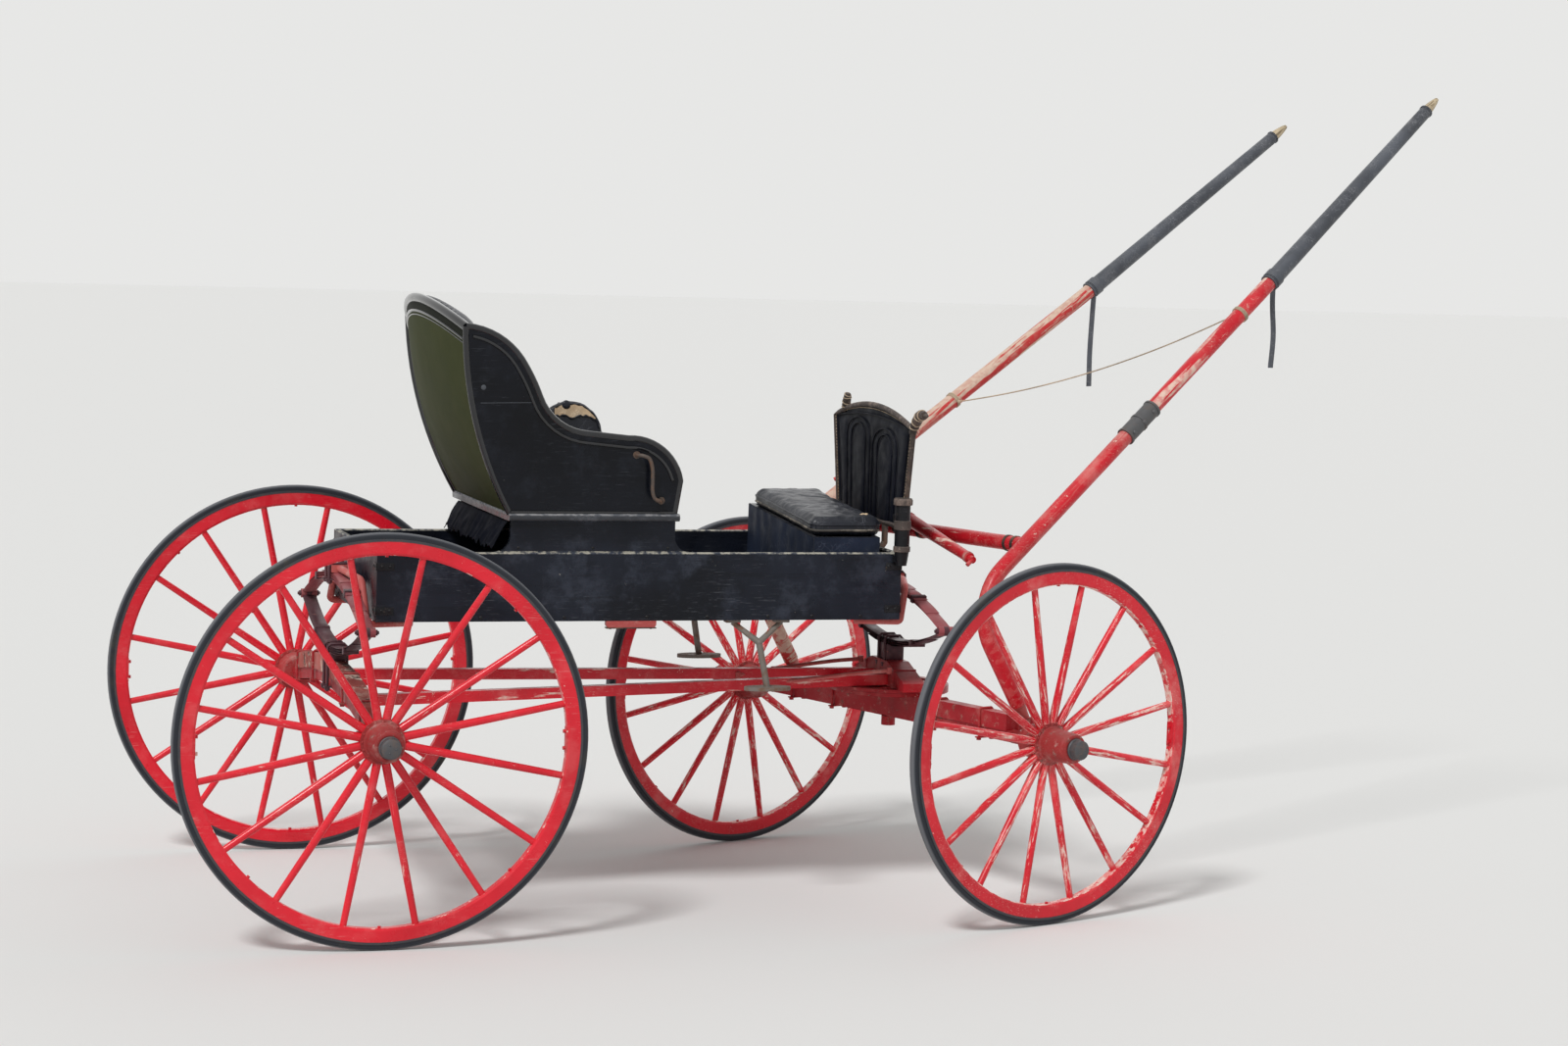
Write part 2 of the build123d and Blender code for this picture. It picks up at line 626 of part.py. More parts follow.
def coupling():
    """The right-hand clip on the axle, with a pair of ears and a pin for the shaft's eye."""
    outer = EYE_WIDTH / 2 + END_GAP + EAR
    face = BED_WIDTH / 2
    bottom = FRONT_WHEEL_R - AXLE_BAR / 2
    y0, y1 = -HEEL_U - outer, -HEEL_U + outer
    ear_r = EYE_OUT_R - 1
    clip = block(face, face + EAR, y0, y1, bottom, FRONT_BED_TOP)
    for low in (y0, y1 - EAR):
        clip = clip + block(face, PIVOT_AHEAD, low, low + EAR, PIVOT_Z - ear_r, PIVOT_Z + ear_r)
        clip = clip + rod((PIVOT_AHEAD, low, PIVOT_Z), (PIVOT_AHEAD, low + EAR, PIVOT_Z), ear_r)
    return clip + rod((PIVOT_AHEAD, y0, PIVOT_Z), (PIVOT_AHEAD, y1, PIVOT_Z), PIN_R)


def front_axle():
    z = FRONT_WHEEL_R
    half = AXLE_BAR / 2
    arm = axle_arm(z)
    bar = block(-half, half, -AXLE_HALF, AXLE_HALF, z - half, z + half) + arm + mirrored(arm)
    add("front_axle", steered(bar - king_hole()))
    bed = block(-BED_WIDTH / 2, BED_WIDTH / 2, -BED_HALF, BED_HALF, z + half, FRONT_BED_TOP)
    add("front_axle_bed", steered(bed - king_hole()))
    add("fifth_wheel_lower", steered(ring_plate(FRONT_BED_TOP) - king_hole()))
    clip = coupling()
    add("shaft_couplings", steered(clip), steered(mirrored(clip)))


# Head block and upper fifth wheel, fixed to the front spring, with the king bolt
def head_block():
    shoulder = HEAD_BOTTOM + 24
    outline = Polyline((-HEAD_HALF, HEAD_BOTTOM), (HEAD_HALF, HEAD_BOTTOM), (HEAD_HALF, shoulder),
                       (70, HEAD_TOP), (-70, HEAD_TOP), (-HEAD_HALF, shoulder), (-HEAD_HALF, HEAD_BOTTOM))
    wood = front_plate(outline, -HEAD_DEPTH / 2, HEAD_DEPTH / 2)
    bolt_top = HEAD_TOP - 12
    socket = rod((0, 0, 0), (0, 0, bolt_top), KING_R)
    add("head_block", Pos(WHEELBASE, 0, 0) * (wood - socket))
    axle_bottom = FRONT_WHEEL_R - AXLE_BAR / 2
    nut_top = axle_bottom - END_GAP
    nut = rod((0, 0, nut_top - NUT_LENGTH), (0, 0, nut_top), 2 * KING_R)
    bolt = rod((0, 0, nut_top - 5), (0, 0, bolt_top), KING_R)
    add("fifth_wheel_upper", Pos(WHEELBASE, 0, 0) * (ring_plate(UPPER_RING) + bolt + nut))
    add("front_spring", elliptic(WHEELBASE, HEAD_TOP, FRONT_SPRING_BOTTOM, FRONT_SPRING_TOP))


# Reaches: two bars that join the rear axle to the head block
def reaches():
    back, front = AXLE_BAR / 2, WHEELBASE - HEAD_DEPTH / 2
    half = REACH_HEIGHT / 2
    z_back = REAR_BAR_TOP - arch_drop(REACH_REAR_Y + REACH_WIDTH) - half
    z_front = HEAD_BOTTOM + half + 3
    ends = [
        Plane(origin=p, x_dir=(0, 1, 0), z_dir=(1, 0, 0)) * Rectangle(REACH_WIDTH, REACH_HEIGHT)
        for p in ((back, -REACH_REAR_Y, z_back), (front, -REACH_FRONT_Y, z_front))
    ]
    bar = loft(ends, ruled=True)
    add("reaches", bar, mirrored(bar))


# Wheels, built with Y outwards from the rim's middle plane
def turned(*points):
    """A solid of revolution about Y from a closed outline of radius and Y."""
    face = make_face(Polyline(*points, points[0]))
    return revolve(face, axis=Axis.Y)


def hub():
    bore = AXLE_ARM_R + BEARING_GAP
    low, high = FLANGE_IN - FLANGE_HALF, FLANGE_IN + FLANGE_HALF
    return turned(
        (bore, HUB_IN), (HUB_R - 6, HUB_IN), (HUB_R, HUB_IN + 12), (HUB_R + 4, low), (FLANGE_R, low),
        (FLANGE_R, high), (HUB_R, high), (HUB_R - 4, HUB_OUT - 14), (HUB_R - 10, HUB_OUT), (bore, HUB_OUT),
    )


def wheel_wood(radius):
    """Felloe with its tapered spokes."""
    outer = radius - TYRE_DEPTH
    inner = outer - FELLOE_DEPTH
    half = FELLOE_WIDTH / 2
    wood = turned((inner, 3 - half), (inner + 6, -half), (outer, -half), (outer, half), (inner + 6, half),
                  (inner, half - 3))
    for k in range(SPOKES):
        angle = 2 * pi * (k + 0.5) / SPOKES
        across, up = cos(angle), sin(angle)
        root, tip = FLANGE_R - 1, inner + 4
        spoke = rod((root * across, FLANGE_IN, root * up), (tip * across, 0, tip * up), SPOKE_R, SPOKE_TIP_R)
        wood = wood + spoke
    return wood - Rot(90, 0, 0) * Cylinder(FLANGE_R, 4 * FLANGE_R)


def tyre(radius):
    half = TYRE_WIDTH / 2
    low = radius - TYRE_DEPTH
    return turned((low, -half), (radius - 7, -half), (radius - 2, 5 - half), (radius, -4),
                  (radius, 4), (radius - 2, half - 5), (radius - 7, half), (low, half))


def wheels():
    for end, radius in (("rear", REAR_WHEEL_R), ("front", FRONT_WHEEL_R)):
        for what, solid in (("hub", hub()), ("spokes", wheel_wood(radius)), ("tyre", tyre(radius))):
            left = Pos(0, TRACK / 2, radius) * solid
            for side, piece in (("right", mirrored(left)), ("left", left)):
                add(f"{end}_{side}_{what}", steered(piece) if end == "front" else piece)


# Shafts, laid out in their own frame and raised about the coupling pins
def raised(shape):
    """From the shafts' own frame to their raised and turned place."""
    return steered(Pos(PIVOT_AHEAD, 0, PIVOT_Z) * Rot(0, -LIFT, 0) * shape)


def shaft_r(s):
    """Radius of a shaft, which thins from the leather cover's start to its tip."""
    t = (s - COVER_S) / (TIP_S - COVER_S)
    return SHAFT_R + (SHAFT_TIP_R - SHAFT_R) * max(t, 0)


def shaft_line(side, droop):
    """Pivot, heel corner, start of the cover, start of the point, and tip of one shaft."""
    pivot = Vector(0, side * HEEL_U, 0)
    heel = Vector(HEEL_BACK, side * (HEEL_U - 8), HEEL_H)
    mid = Vector(COVER_S, side * COVER_U, HEEL_H - 0.65 * droop)
    tip = Vector(TIP_S, side * TIP_U, HEEL_H + 12 - droop)
    neck = tip + (mid - tip).normalized() * SHAFT_POINT
    return pivot, heel, mid, neck, tip


def shaft(side, droop):
    """The wood, leather cover and heel iron of one shaft."""
    pivot, heel, mid, neck, tip = shaft_line(side, droop)
    foot = pivot + (heel - pivot).normalized() * HEEL_IRON
    neck_r = shaft_r(neck.X)
    wood = bent_rod([foot, heel, mid], (HEEL_TURN,), SHAFT_R)
    wood = wood + Pos(*mid) * Sphere(SHAFT_R) + rod(mid, neck, SHAFT_R, neck_r) + rod(neck, tip, neck_r, 5)
    start = mid + (tip - mid).normalized() * SHAFT_R
    end = mid + (tip - mid) * ((COVER_END_S - COVER_S) / (TIP_S - COVER_S))
    r0, r1 = shaft_r(start.X), shaft_r(end.X)
    cover = rod(start, end, r0 + COVER, r1 + COVER) - rod(start, end, r0 + SOFT_GAP, r1 + SOFT_GAP)
    across = Vector(0, EYE_WIDTH / 2, 0)
    eye = rod(pivot - across, pivot + across, EYE_OUT_R) + rod(pivot, foot, EYE_OUT_R - 3, SHAFT_R - 2)
    iron = eye - rod(pivot - 2 * across, pivot + 2 * across, PIN_R + BEARING_GAP)
    return wood, cover, iron


def shafts():
    right, right_cover, right_iron = shaft(-1, 0)
    left, left_cover, left_iron = shaft(1, SHAFT_DROOP)
    half = HEEL_U - SHAFT_R
    bar = rod((BAR_S, -half, HEEL_H), (BAR_S, half, HEEL_H), BAR_R)
    bar = (bar - right - left).solids().sort_by(SortBy.VOLUME)[-1]
    pivot, heel, mid, neck, tip = shaft_line(-1, 0)
    run = (mid - heel).normalized()
    a = heel + run * (SLEEVE_S - SLEEVE_LENGTH / 2)
    b = a + run * SLEEVE_LENGTH
    sleeve = rod(a, b, SHAFT_R + SLEEVE) - rod(a, b, SHAFT_R)
    add("shaft_right", raised(right))
    add("shaft_left", raised(left))
    add("shaft_crossbar", raised(bar))
    add("shaft_covers", raised(right_cover), raised(left_cover))
    add("shaft_irons", raised(right_iron), raised(left_iron), raised(sleeve), raised(tree_pin()))


# Singletree, pivoted on the middle of the crossbar, with a hook at each end
BELLY = TREE_R + TREE_BELLY
TREE_H = HEEL_H + BAR_R + TREE_PAD + END_GAP + BELLY


def tree_pin():
    """Pin on the crossbar, with a pad below the singletree and a head above it."""
    top = TREE_H + BELLY + END_GAP
    pin = rod((BAR_S, 0, HEEL_H), (BAR_S, 0, top + 5), PIN_R)
    head = rod((BAR_S, 0, top), (BAR_S, 0, top + 5), 2 * PIN_R)
    pad = rod((BAR_S, 0, HEEL_H), (BAR_S, 0, TREE_H - BELLY - END_GAP), 2 * PIN_R)
    return pin + head + pad - rod((BAR_S, -HEEL_U, HEEL_H), (BAR_S, HEEL_U, HEEL_H), BAR_R)


def singletree():
    wood_end = TREE_HALF - 18
    half = rod((0, 0, 0), (0, -wood_end, 0), BELLY, TREE_R - 3)
    ferrule = rod((0, -wood_end, 0), (0, -TREE_HALF, 0), TREE_R - 7)
    hook = rod((0, -TREE_HALF + 4, 0), (-22, -TREE_HALF - 4, 0), 6)
    end = half + ferrule + hook
    bore = rod((0, 0, -2 * BELLY), (0, 0, 2 * BELLY), PIN_R + BEARING_GAP)
    bar = end + mirrored(end) - bore
    add("singletree", raised(Pos(BAR_S, 0, TREE_H) * Rot(0, 0, TREE_TURN) * bar))


def build():
    for make in (body, seat_riser, seat, upholstery, seat_curtain, grab_handles, jump_seat, dash, whip_socket,
                 steps, body_loops, rear_axle, front_axle, head_block, reaches, wheels, shafts, singletree):
        make()


def origin():
    """The point on the ground under the middle of the whole part's box, to the nearest mm."""
    boxes = [shape.bounding_box() for shape in parts.values()]
    x = (min(b.min.X for b in boxes) + max(b.max.X for b in boxes)) / 2
    y = (min(b.min.Y for b in boxes) + max(b.max.Y for b in boxes)) / 2
    return Pos(round(x), round(y), 0)


build()
home = origin().inverse()
os.makedirs("parts", exist_ok=True)
for name, shape in parts.items():
    export_step(home * shape, f"parts/{name}.step")
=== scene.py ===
"""Looks of a light driving buggy: paint, leather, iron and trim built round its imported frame."""

import logging
import math
from dataclasses import dataclass, field, replace
from enum import Enum
from typing import Any, Iterable, Iterator, Sequence

import bmesh
import bpy
from mathutils import Matrix, Vector, noise
from mathutils.bvhtree import BVHTree


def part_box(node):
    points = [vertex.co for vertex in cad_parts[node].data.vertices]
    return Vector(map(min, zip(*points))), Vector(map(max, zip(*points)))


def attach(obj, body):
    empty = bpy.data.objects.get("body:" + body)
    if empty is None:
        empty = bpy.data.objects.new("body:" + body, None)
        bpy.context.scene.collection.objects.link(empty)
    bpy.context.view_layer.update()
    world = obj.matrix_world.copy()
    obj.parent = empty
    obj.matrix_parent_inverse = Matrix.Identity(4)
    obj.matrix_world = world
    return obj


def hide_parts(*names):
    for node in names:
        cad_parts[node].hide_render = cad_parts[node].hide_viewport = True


log = logging.getLogger("buggy")
Colour = tuple[float, float, float]
Direction = tuple[float, float, float]
MM = 0.001


class Place:
    """Turns millimetres of the vehicle, measured from under its rear axle, into the part's frame."""

    wheelbase = 1606.0
    track = 1422.0
    steer = math.radians(20)
    lift = math.radians(36.5)
    shaft_pins = (70.0, 0.0, 527.0)
    body_back = 47.0
    home = Vector((0.0, 0.0, 0.0))

    @classmethod
    def set_home(cls) -> None:
        """Reads the shift between the two frames from the body's panels."""
        low, high = (Vector(corner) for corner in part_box("body_panels"))
        cls.home = Vector((low.x - cls.body_back * MM, (low.y + high.y) / 2, 0))

    @classmethod
    def body(cls) -> Matrix:
        """Returns the matrix of the vehicle's frame."""
        return Matrix.Translation(cls.home) @ Matrix.Scale(MM, 4)

    @classmethod
    def front(cls) -> Matrix:
        """Returns the matrix of the turned front axle's frame."""
        return cls.body() @ Matrix.Translation((cls.wheelbase, 0, 0)) @ Matrix.Rotation(cls.steer, 4, "Z")

    @classmethod
    def shafts(cls) -> Matrix:
        """Returns the matrix of the raised shafts' frame."""
        return cls.front() @ Matrix.Translation(cls.shaft_pins) @ Matrix.Rotation(-cls.lift, 4, "Y")


# node trees
Socket = bpy.types.NodeSocket


@dataclass
class Wiring:
    """One node tree that is being wired."""

    tree: bpy.types.NodeTree

    def plug(self, value: Any, socket: Socket) -> None:
        """Links a socket to another one, or sets it to a plain value."""
        if isinstance(value, Socket):
            self.tree.links.new(value, socket)
        else:
            socket.default_value = value

    def add(self, kind: str, settings: dict[str, Any] | None = None, **inputs: Any) -> bpy.types.Node:
        """Adds a node.

        Args:
            kind: the node's type, without its ShaderNode prefix.
            settings: attributes to set on the node.
            inputs: values or sockets by input name, with spaces written as underscores.

        Returns:
            The new node.
        """
        node = self.tree.nodes.new("ShaderNode" + kind)
        for key, value in (settings or {}).items():
            setattr(node, key, value)
        for key, value in inputs.items():
            self.plug(value, node.inputs[key.replace("_", " ")])
        return node

    def fed(self, node: bpy.types.Node, values: Sequence[Any]) -> bpy.types.Node:
        """Gives a node its first inputs in their order."""
        for value, socket in zip(values, node.inputs):
            self.plug(value, socket)
        return node

    def math(self, operation: str, *values: Any, clamp: bool = False) -> Socket:
        """Returns the result of a math node on the values, held between 0 and 1 by clamp."""
        return self.fed(self.add("Math", {"operation": operation, "use_clamp": clamp}), values).outputs[0]

    def vector(self, operation: str, *values: Any) -> Socket:
        """Returns the result of a vector math node on the values, a number for a length or a dot product."""
        node = self.fed(self.add("VectorMath", {"operation": operation}), values)
        return node.outputs["Value" if operation in {"LENGTH", "DOT_PRODUCT"} else "Vector"]

    def coords(self) -> Socket:
        """Returns the piece's own coordinates."""
        return self.add("TexCoord").outputs["Object"]

    def height(self) -> Socket:
        """Returns how high a point of the piece is."""
        return self.add("SeparateXYZ", Vector=self.coords()).outputs["Z"]

    def blend(self, factor: Any, a: Any, b: Any) -> Socket:
        """Returns colour a turned into colour b by the factor."""
        node = self.add("Mix", {"data_type": "RGBA"})
        for index, value in ((0, factor), (6, a), (7, b)):
            self.plug((*value, 1.0) if isinstance(value, tuple) else value, node.inputs[index])
        return node.outputs[2]

    def noise(self, scale: Any, detail: float = 4.0, rough: float = 0.55, vector: Socket | None = None) -> Socket:
        """Returns a noise texture's value on the piece's own coordinates or a given vector."""
        vector = vector or self.coords()
        return self.add("TexNoise", Vector=vector, Scale=scale, Detail=detail, Roughness=rough).outputs[0]

    def cells(self, scale: Any, vector: Socket) -> Socket:
        """Returns the distance to the nearest edge between random cells."""
        return self.add("TexVoronoi", {"feature": "DISTANCE_TO_EDGE"}, Vector=vector, Scale=scale).outputs["Distance"]

    def ramp(self, value: Any, low: Any, high: Any, out_low: float = 0.0, out_high: float = 1.0) -> Socket:
        """Returns a value stretched from low..high to out_low..out_high, smoothly and held inside."""
        node = self.add("MapRange", {"interpolation_type": "SMOOTHSTEP"}, Value=value)
        for bound, socket in zip((low, high, out_low, out_high), node.inputs[1:5]):
            self.plug(bound, socket)
        return node.outputs[0]

    def effect(self, effect: "Effect", **inputs: Any) -> Any:
        """Places an effect's node group, sets its inputs and returns its outputs."""
        return self.add("Group", {"node_tree": effect.tree()}, **inputs).outputs


class Effect(Enum):
    """Effects that several finishes share, each one node group."""

    CHIPS = "chipped_paint"
    GRAIN = "wood_grain"
    HIDE = "leather_hide"
    DUST = "settled_dust"
    SCRATCH = "fine_scratches"

    def tree(self) -> bpy.types.NodeTree:
        """Returns the effect's node group, made on first use."""
        return bpy.data.node_groups.get(self.value) or EFFECT_MAKERS[self](self.value)


def new_group(name: str, inputs: dict[str, float], *outputs: str) -> tuple[Wiring, Any, Any]:
    """Makes an empty node group with number inputs and outputs.

    Args:
        name: the group's name.
        inputs: default values by input name.
        outputs: output names.

    Returns:
        Its wiring, the sockets that its inputs come from and the sockets that its outputs go to.
    """
    tree = bpy.data.node_groups.new(name, "ShaderNodeTree")
    for key, value in inputs.items():
        tree.interface.new_socket(key, in_out="INPUT", socket_type="NodeSocketFloat").default_value = value
    for key in outputs:
        tree.interface.new_socket(key, in_out="OUTPUT", socket_type="NodeSocketFloat")
    return Wiring(tree), tree.nodes.new("NodeGroupInput").outputs, tree.nodes.new("NodeGroupOutput").inputs


def make_chips(name: str) -> bpy.types.NodeTree:
    """Returns a group that gives flaked patches."""
    w, ins, outs = new_group(name, {"Scale": 20.0, "Amount": 0.3}, "Mask")
    large = w.noise(ins["Scale"], 6.0, 0.62)
    small = w.noise(w.math("MULTIPLY", ins["Scale"], 6.5), 5.0, 0.7)
    mixed = w.math("MULTIPLY_ADD", small, 0.35, w.math("MULTIPLY", large, 0.65))
    edge = w.math("MULTIPLY_ADD", ins["Amount"], -0.36, 0.68)
    w.plug(w.ramp(mixed, edge, w.math("ADD", edge, 0.025, clamp=True)), outs["Mask"])
    return w.tree


def make_grain(name: str) -> bpy.types.NodeTree:
    """Returns a group that gives wood grain drawn out along a direction."""
    inputs = {"Scale": 30.0, "Stretch": 0.06, "Along X": 1.0, "Along Y": 0.0, "Along Z": 0.0}
    w, ins, outs = new_group(name, inputs, "Fac")
    coords = w.coords()
    along = w.add("CombineXYZ", X=ins["Along X"], Y=ins["Along Y"], Z=ins["Along Z"]).outputs[0]
    run = w.vector("DOT_PRODUCT", coords, along)
    squash = w.math("MULTIPLY", run, w.math("SUBTRACT", 1.0, ins["Stretch"]))
    shift = w.add("VectorMath", {"operation": "SCALE"}, Vector=along, Scale=squash).outputs[0]
    w.plug(w.noise(ins["Scale"], 7.0, 0.6, w.vector("SUBTRACT", coords, shift)), outs["Fac"])
    return w.tree


def make_hide(name: str) -> bpy.types.NodeTree:
    """Returns a group that gives leather pores, folds and cracks."""
    w, ins, outs = new_group(name, {"Scale": 24.0}, "Height", "Cracks", "Worn")
    coords = w.coords()
    bend = w.add("TexNoise", Vector=coords, Scale=ins["Scale"], Detail=3.0).outputs["Color"]
    moved = w.vector("MULTIPLY_ADD", bend, (0.03, 0.03, 0.03), coords)
    cracks = w.ramp(w.cells(w.math("MULTIPLY", ins["Scale"], 2.4), moved), 0.0, 0.06, 1.0, 0.0)
    folds = w.noise(w.math("MULTIPLY", ins["Scale"], 0.7), 5.0, 0.6)
    pores = w.noise(w.math("MULTIPLY", ins["Scale"], 22.0), 2.0)
    broken = w.math("MULTIPLY", cracks, w.ramp(folds, 0.45, 0.6))
    w.plug(w.math("MULTIPLY_ADD", broken, -0.35, w.math("MULTIPLY_ADD", pores, 0.07, folds)), outs["Height"])
    w.plug(broken, outs["Cracks"])
    w.plug(w.ramp(w.noise(w.math("MULTIPLY", ins["Scale"], 0.35), 6.0, 0.65), 0.5, 0.66), outs["Worn"])
    return w.tree


def make_dust(name: str) -> bpy.types.NodeTree:
    """Returns a group that gives dust on faces that look up."""
    w, ins, outs = new_group(name, {"Amount": 0.3, "Scale": 8.0}, "Mask")
    up = w.add("SeparateXYZ", Vector=w.add("NewGeometry").outputs["Normal"]).outputs["Z"]
    cloud = w.ramp(w.noise(ins["Scale"], 5.0, 0.6), 0.35, 0.75)
    w.plug(w.math("MULTIPLY", w.math("MULTIPLY", w.ramp(up, 0.2, 0.95), cloud), ins["Amount"]), outs["Mask"])
    return w.tree


def make_scratch(name: str) -> bpy.types.NodeTree:
    """Returns a group that gives thin scratches and scuffs."""
    w, ins, outs = new_group(name, {"Scale": 14.0, "Amount": 0.3}, "Mask")
    coords = w.coords()
    masks = []
    for turn in (0.2, 1.1, 2.3):
        turned = (turn, turn * 0.7, turn * 1.3)
        mapped = w.add("Mapping", Vector=coords, Rotation=turned, Scale=(0.05, 1.0, 1.0)).outputs[0]
        masks.append(w.ramp(w.noise(w.math("MULTIPLY", ins["Scale"], 28.0), 3.0, 0.6, mapped), 0.64, 0.70))
    cloud = w.ramp(w.noise(w.math("MULTIPLY", ins["Scale"], 0.5), 3.0), 0.42, 0.62)
    total = w.math("MAXIMUM", masks[0], w.math("MAXIMUM", masks[1], masks[2]))
    w.plug(w.math("MULTIPLY", w.math("MULTIPLY", total, cloud), ins["Amount"]), outs["Mask"])
    return w.tree


EFFECT_MAKERS = {
    Effect.CHIPS: make_chips,
    Effect.GRAIN: make_grain,
    Effect.HIDE: make_hide,
    Effect.DUST: make_dust,
    Effect.SCRATCH: make_scratch,
}


@dataclass(frozen=True)
class Finish:
    """What every finish has: a name, its main colour, its gloss and the direction that its grain runs."""

    name: str
    colour: Colour
    rough: float = 0.4
    slot: str = "black_wood"
    gloss: float = 0.5
    along: Direction = (1.0, 0.0, 0.0)

    def material(self) -> bpy.types.Material:
        """Returns the finish's material, made on first use."""
        found = bpy.data.materials.get(self.name)
        if found:
            return found
        material = bpy.data.materials.new(self.name)
        material.use_nodes = True
        material.node_tree.nodes.clear()
        w = Wiring(material.node_tree)
        shader = w.add("BsdfPrincipled", Roughness=self.rough, Specular_IOR_Level=self.gloss)
        self.wire(w, shader)
        w.plug(shader.outputs[0], w.add("OutputMaterial").inputs[0])
        return material

    def wire(self, w: Wiring, shader: bpy.types.Node) -> None:
        """Wires the finish's colour, gloss and relief to its shader."""
        raise NotImplementedError

    def lighter(self, times: float) -> Colour:
        """Returns the main colour made lighter."""
        return tuple(channel * times for channel in self.colour)

    def drawn(self, w: Wiring, scale: float, stretch: float) -> Socket:
        """Returns grain that runs along the finish's direction."""
        x, y, z = self.along
        return w.effect(Effect.GRAIN, Scale=scale, Stretch=stretch, Along_X=x, Along_Y=y, Along_Z=z)["Fac"]

    def relief(self, w: Wiring, shader: bpy.types.Node, height: Any, strength: float, depth: float) -> None:
        """Links a height to the shader's normal."""
        w.plug(w.add("Bump", Height=height, Strength=strength, Distance=depth).outputs[0], shader.inputs["Normal"])


@dataclass(frozen=True)
class Paint(Finish):
    """Old gloss paint over wood or iron: faded, chipped to what is under it, and dusty, with pale edge lines that are
    worn paint and painted highlight.
    """

    shade: Colour = (0.0, 0.0, 0.0)
    faded: Colour = (0.8, 0.3, 0.3)
    under: Colour = (0.7, 0.5, 0.4)
    fade: float = 0.3
    chips: float = 0.2
    chip_scale: float = 60.0
    scratches: float = 0.3
    scratch_colour: Colour = (0.4, 0.4, 0.42)
    dust: float = 0.1
    dust_colour: Colour = (0.35, 0.33, 0.28)
    coat: float = 0.0
    grain: float = 0.0
    # heights of pale edge lines: worn to the undercoat, and a painted highlight along the edge
    edge_wear_and_highlight: tuple[float, ...] = ()
    wear: float = 0.0
    wear_above: float = -1.0
    uneven: float = 1.0

    def wire(self, w: Wiring, shader: bpy.types.Node) -> None:
        """Wires paint, fading, chips, scratches and dust."""
        colour = w.blend(w.ramp(w.noise(3.1, 5.0, 0.6), 0.35, 0.7), self.colour, self.shade)
        fade = w.math("MULTIPLY", w.ramp(w.noise(9.0, 8.0, 0.68), 0.5, 0.68), self.fade)
        colour = w.blend(fade, colour, self.faded)
        grain = self.drawn(w, 46.0, 0.07)
        colour = w.blend(w.math("MULTIPLY", w.ramp(grain, 0.5, 0.68), 0.45 * self.grain), colour, self.shade)
        scratched = w.effect(Effect.SCRATCH, Scale=13.0, Amount=self.scratches)["Mask"]
        colour = w.blend(scratched, colour, self.scratch_colour)
        mask = w.effect(Effect.CHIPS, Scale=self.chip_scale, Amount=self.chips)["Mask"]
        for worn in self.worn(w):
            mask = w.math("MAXIMUM", mask, worn)
        under = w.blend(w.ramp(w.noise(55.0, 4.0), 0.4, 0.62), self.under, self.faded)
        colour = w.blend(mask, colour, under)
        dust = w.effect(Effect.DUST, Amount=self.dust, Scale=7.0)["Mask"]
        w.plug(w.blend(dust, colour, self.dust_colour), shader.inputs["Base Color"])
        rough = w.ramp(w.noise(11.0, 5.0, 0.6), 0.3, 0.75, self.rough * (1 - 0.3 * self.uneven),
                       min(1.0, self.rough * (1 + 0.5 * self.uneven)))
        dull = w.math("MULTIPLY", w.math("MAXIMUM", mask, dust), 0.8)
        w.plug(w.math("MAXIMUM", rough, dull), shader.inputs["Roughness"])
        shader.inputs["Coat Weight"].default_value = self.coat
        shader.inputs["Coat Roughness"].default_value = 0.12
        whole = w.math("SUBTRACT", 1.0, mask, clamp=True)
        self.relief(w, shader, w.math("MULTIPLY_ADD", grain, 0.25 * self.grain, whole), 0.5, 0.0006)

    def worn(self, w: Wiring) -> Iterator[Socket]:
        """Gives masks of long worn places, and of pale edge lines that are worn paint and painted highlight, where the
        paint has them.
        """
        if self.wear:
            edge = 0.70 - 0.2 * self.wear
            streaks = w.ramp(self.drawn(w, 44.0, 0.05), edge, edge + 0.035)
            high = w.ramp(w.height(), self.wear_above - 0.08, self.wear_above + 0.06, 0.12, 1.0)
            yield w.math("MULTIPLY", streaks, high)
        # each edge line is partly worn paint and partly a painted highlight that the edge catches
        for level in self.edge_wear_and_highlight:
            away = w.math("ABSOLUTE", w.math("SUBTRACT", w.height(), level))
            near = w.ramp(away, 0.0012, 0.0065, 1.0, 0.0)
            yield w.ramp(w.math("MULTIPLY", near, w.noise(170.0, 7.0, 0.75)), 0.26, 0.36)


@dataclass(frozen=True)
class WheelPaint(Paint):
    """Paint of one wheel, worn in streaks along its spokes and along the edges of its felloe."""

    centre: Direction = (0.0, 0.0, 0.0)
    rim: float = 0.48
    felloe: float = 0.038
    rim_wear: float = 0.2

    def worn(self, w: Wiring) -> Iterator[Socket]:
        """Gives one mask drawn out from the wheel's centre, and one along each edge of the felloe."""
        offset = w.vector("SUBTRACT", w.coords(), self.centre)
        run = w.vector("MULTIPLY", offset, (9.0, 9.0, 9.0))
        drawn = w.vector("MULTIPLY_ADD", w.vector("NORMALIZE", offset), (24.0, 24.0, 24.0), run)
        edge = 0.70 - 0.16 * self.wear
        away = w.vector("LENGTH", offset)
        streaks = w.ramp(w.noise(1.0, 6.0, 0.68, drawn), edge, edge + 0.035)
        yield w.math("MULTIPLY", streaks, w.ramp(away, self.rim - 0.03, self.rim - 0.008, 1.0, 0.0))
        flaked = w.noise(38.0, 7.0, 0.72)
        low = 0.60 - 0.2 * self.rim_wear
        for radius in (self.rim, self.rim + self.felloe):
            gap = w.math("ABSOLUTE", w.math("SUBTRACT", away, radius))
            yield w.ramp(w.math("MULTIPLY", w.ramp(gap, 0.0008, 0.0055, 1.0, 0.0), flaked), low, low + 0.05)


